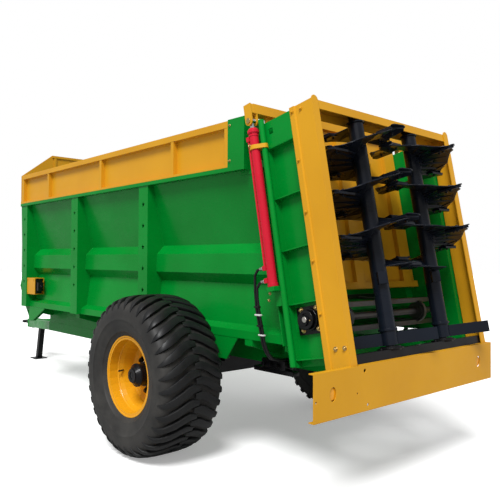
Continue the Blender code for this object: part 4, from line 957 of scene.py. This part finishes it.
# the black junction block where the hoses end, and the arm under it
junction = {
    "low": (-0.96, 0.5508, 0.700),
    "high": (-0.72, 0.640, 0.768),
    "armX": (-1.03, -0.62),
    "armZ": (0.665, 0.6990),
    "armInset": 0.012,
    "soft": 0.004,
    "unionsX": (-0.90, -0.83, -0.76),
    "unionY": 0.641,
    "unionZ": 0.732,
    "unionRadius": 0.015,
    "unionLength": 0.030,
    "plugPlace": (-0.9605, 0.595, 0.735),
    "plugRadius": 0.018,
    "plugLength": 0.028,
}


def makeJunction(side, sign):
    (x0, inner, z0), (x1, outer, z1) = junction["low"], junction["high"]
    y0, y1 = sorted((sign * inner, sign * outer))
    whole = Matrix.Identity(4)
    inset = junction["armInset"]
    (arm0, arm1), (low, high) = junction["armX"], junction["armZ"]
    block = addCube("block", whole, at(x0, y0, z0), at(x1, y1, z1))
    softEdges(block, junction["soft"])
    arm = addCube("arm", whole, at(arm0, y0 + inset, low), at(arm1, y1 - inset, high))
    softEdges(arm, junction["soft"])
    parts = [block, arm]
    for x in junction["unionsX"]:
        frameOf = facing(at(x, sign * junction["unionY"], junction["unionZ"]), (0, sign, 0))
        parts.append(addRod("union", frameOf, junction["unionRadius"], junction["unionLength"], 6))
    x, y, z = junction["plugPlace"]
    frameOf = facing(at(x, sign * y, z), (-1, 0, 0))
    parts.append(addRod("plug", frameOf, junction["plugRadius"], junction["plugLength"], 6))
    finishPiece(joinAs(f"hoseJunction_{side}", parts), "chassis", "blackGloss")


# the cable ties round each pair of hoses, with how far in the hoses have bent at each one
tie = {
    "levels": ((1.115, 0.016), (0.975, 0.050)),
    "spanX": (-1.000, -0.945),
    "hoseY": 0.927,
    "halfWide": 0.0125,
    "halfHigh": 0.006,
    "soft": 0.004,
}


def makeTies(side, sign):
    x0, x1 = tie["spanX"]
    wide, high = tie["halfWide"], tie["halfHigh"]
    ties = []
    for z, inward in tie["levels"]:
        y = sign * (tie["hoseY"] - inward)
        block = addCube("tie", Matrix.Identity(4), at(x0, y - wide, z - high), at(x1, y + wide, z + high))
        softEdges(block, tie["soft"])
        ties.append(block)
    finishPiece(joinAs(f"hoseTies_{side}", ties), "chassis", "tieWhite")


# a lamp behind each oval hole in the rear guard plate, at (y, z)
lamp = {
    "places": {"left": (1.035, 0.724), "right": (-0.665, 0.729)},
    "x": -1.7295,
    "radius": 0.036,
    "length": 0.024,
    "sides": 32,
    "soft": 0.003,
    "smooth": 40,
}


def makeLamp(side):
    y, z = lamp["places"][side]
    frameOf = facing(at(lamp["x"], y, z), (1, 0, 0))
    lens = addRod("lamp", frameOf, lamp["radius"], lamp["length"], lamp["sides"])
    softEdges(lens, lamp["soft"])
    finishPiece(joinAs(f"rearLamp_{side}", [lens]), "chassis", "amberLens", lamp["smooth"])


# the front of each wall: the conveyor's adjusting screw behind its cover, the plate that
# closes the cover, and the bolts of the cover and of the rear corner plate
front = {
    "closerX": (3.014, 3.026),
    "closerY": 0.783,
    "closerHalf": 0.036,
    "closerZ": (1.082, 1.253),
    "closerSoft": 0.002,
    "screwPlace": (2.915, 0.785, 1.165),
    "screwRadius": 0.011,
    "screwLength": 0.100,
    "blockX": (2.955, 3.000),
    "blockY": (-0.032, 0.034),
    "blockZ": (1.115, 1.215),
    "blockSoft": 0.003,
    "nutsX": (2.936, 3.000),
    "nutRadius": 0.021,
    "nutLength": 0.015,
    "nutSoft": 0.001,
    "coverBolts": [(3.24, 0.8303, 1.245), (3.24, 0.8303, 1.09), (3.06, 0.8303, 1.245)],
    "coverBoltSize": 0.55,
    "cornerBolts": [(-0.585, 0.8505, 2.485), (-0.585, 0.8505, 2.222)],
    "cornerBoltSize": 0.7,
}


def makeFrontDetails(side, sign):
    whole = Matrix.Identity(4)
    (x0, x1), (z0, z1) = front["closerX"], front["closerZ"]
    y, half = sign * front["closerY"], front["closerHalf"]
    closer = addCube("closer", whole, at(x0, y - half, z0), at(x1, y + half, z1))
    softEdges(closer, front["closerSoft"], 1)
    screwX, away, screwZ = front["screwPlace"]
    y = sign * away
    frameOf = facing(at(screwX, y, screwZ), (1, 0, 0))
    screw = addRod("screw", frameOf, front["screwRadius"], front["screwLength"])
    (x0, x1), (y0, y1), (z0, z1) = front["blockX"], front["blockY"], front["blockZ"]
    block = addCube("block", whole, at(x0, y + y0, z0), at(x1, y + y1, z1))
    nuts = [
        addRod("nut", facing(at(x, y, screwZ), (1, 0, 0)), front["nutRadius"], front["nutLength"], 6)
        for x in front["nutsX"]
    ]
    for nut in nuts:
        softEdges(nut, front["nutSoft"], 1)
    softEdges(block, front["blockSoft"])
    parts = [closer, screw, block, *nuts]
    finishPiece(joinAs(f"adjusterScrew_{side}", parts), "chassis", "blackGloss")
    out = (0, sign, 0)
    cover = [(at(x, sign * y, z), out) for x, y, z in front["coverBolts"]]
    boltGroup(f"coverBolts_{side}", cover, "chassis", "yellowSatin", front["coverBoltSize"])
    corner = [(at(x, sign * y, z), out) for x, y, z in front["cornerBolts"]]
    boltGroup(f"cornerBolts_{side}", corner, "chassis", "boltGold", front["cornerBoltSize"])


setCamera()
setStudio()
paintFrame()
for side, sign in sides:
    makeLamp(side)
for side, sign in sides:
    makeTyre(side, sign)
    makeHub(side, sign)
    makeClaws(side, sign)
    makeBeaterFittings(side, sign)
    makeBearing(side, sign)
    makePlateBolts(side, sign)
    makeCylinderFittings(side, sign)
    makeTies(side, sign)
    makeJunction(side, sign)
    makeFrontDetails(side, sign)
    print("details made on the", side)
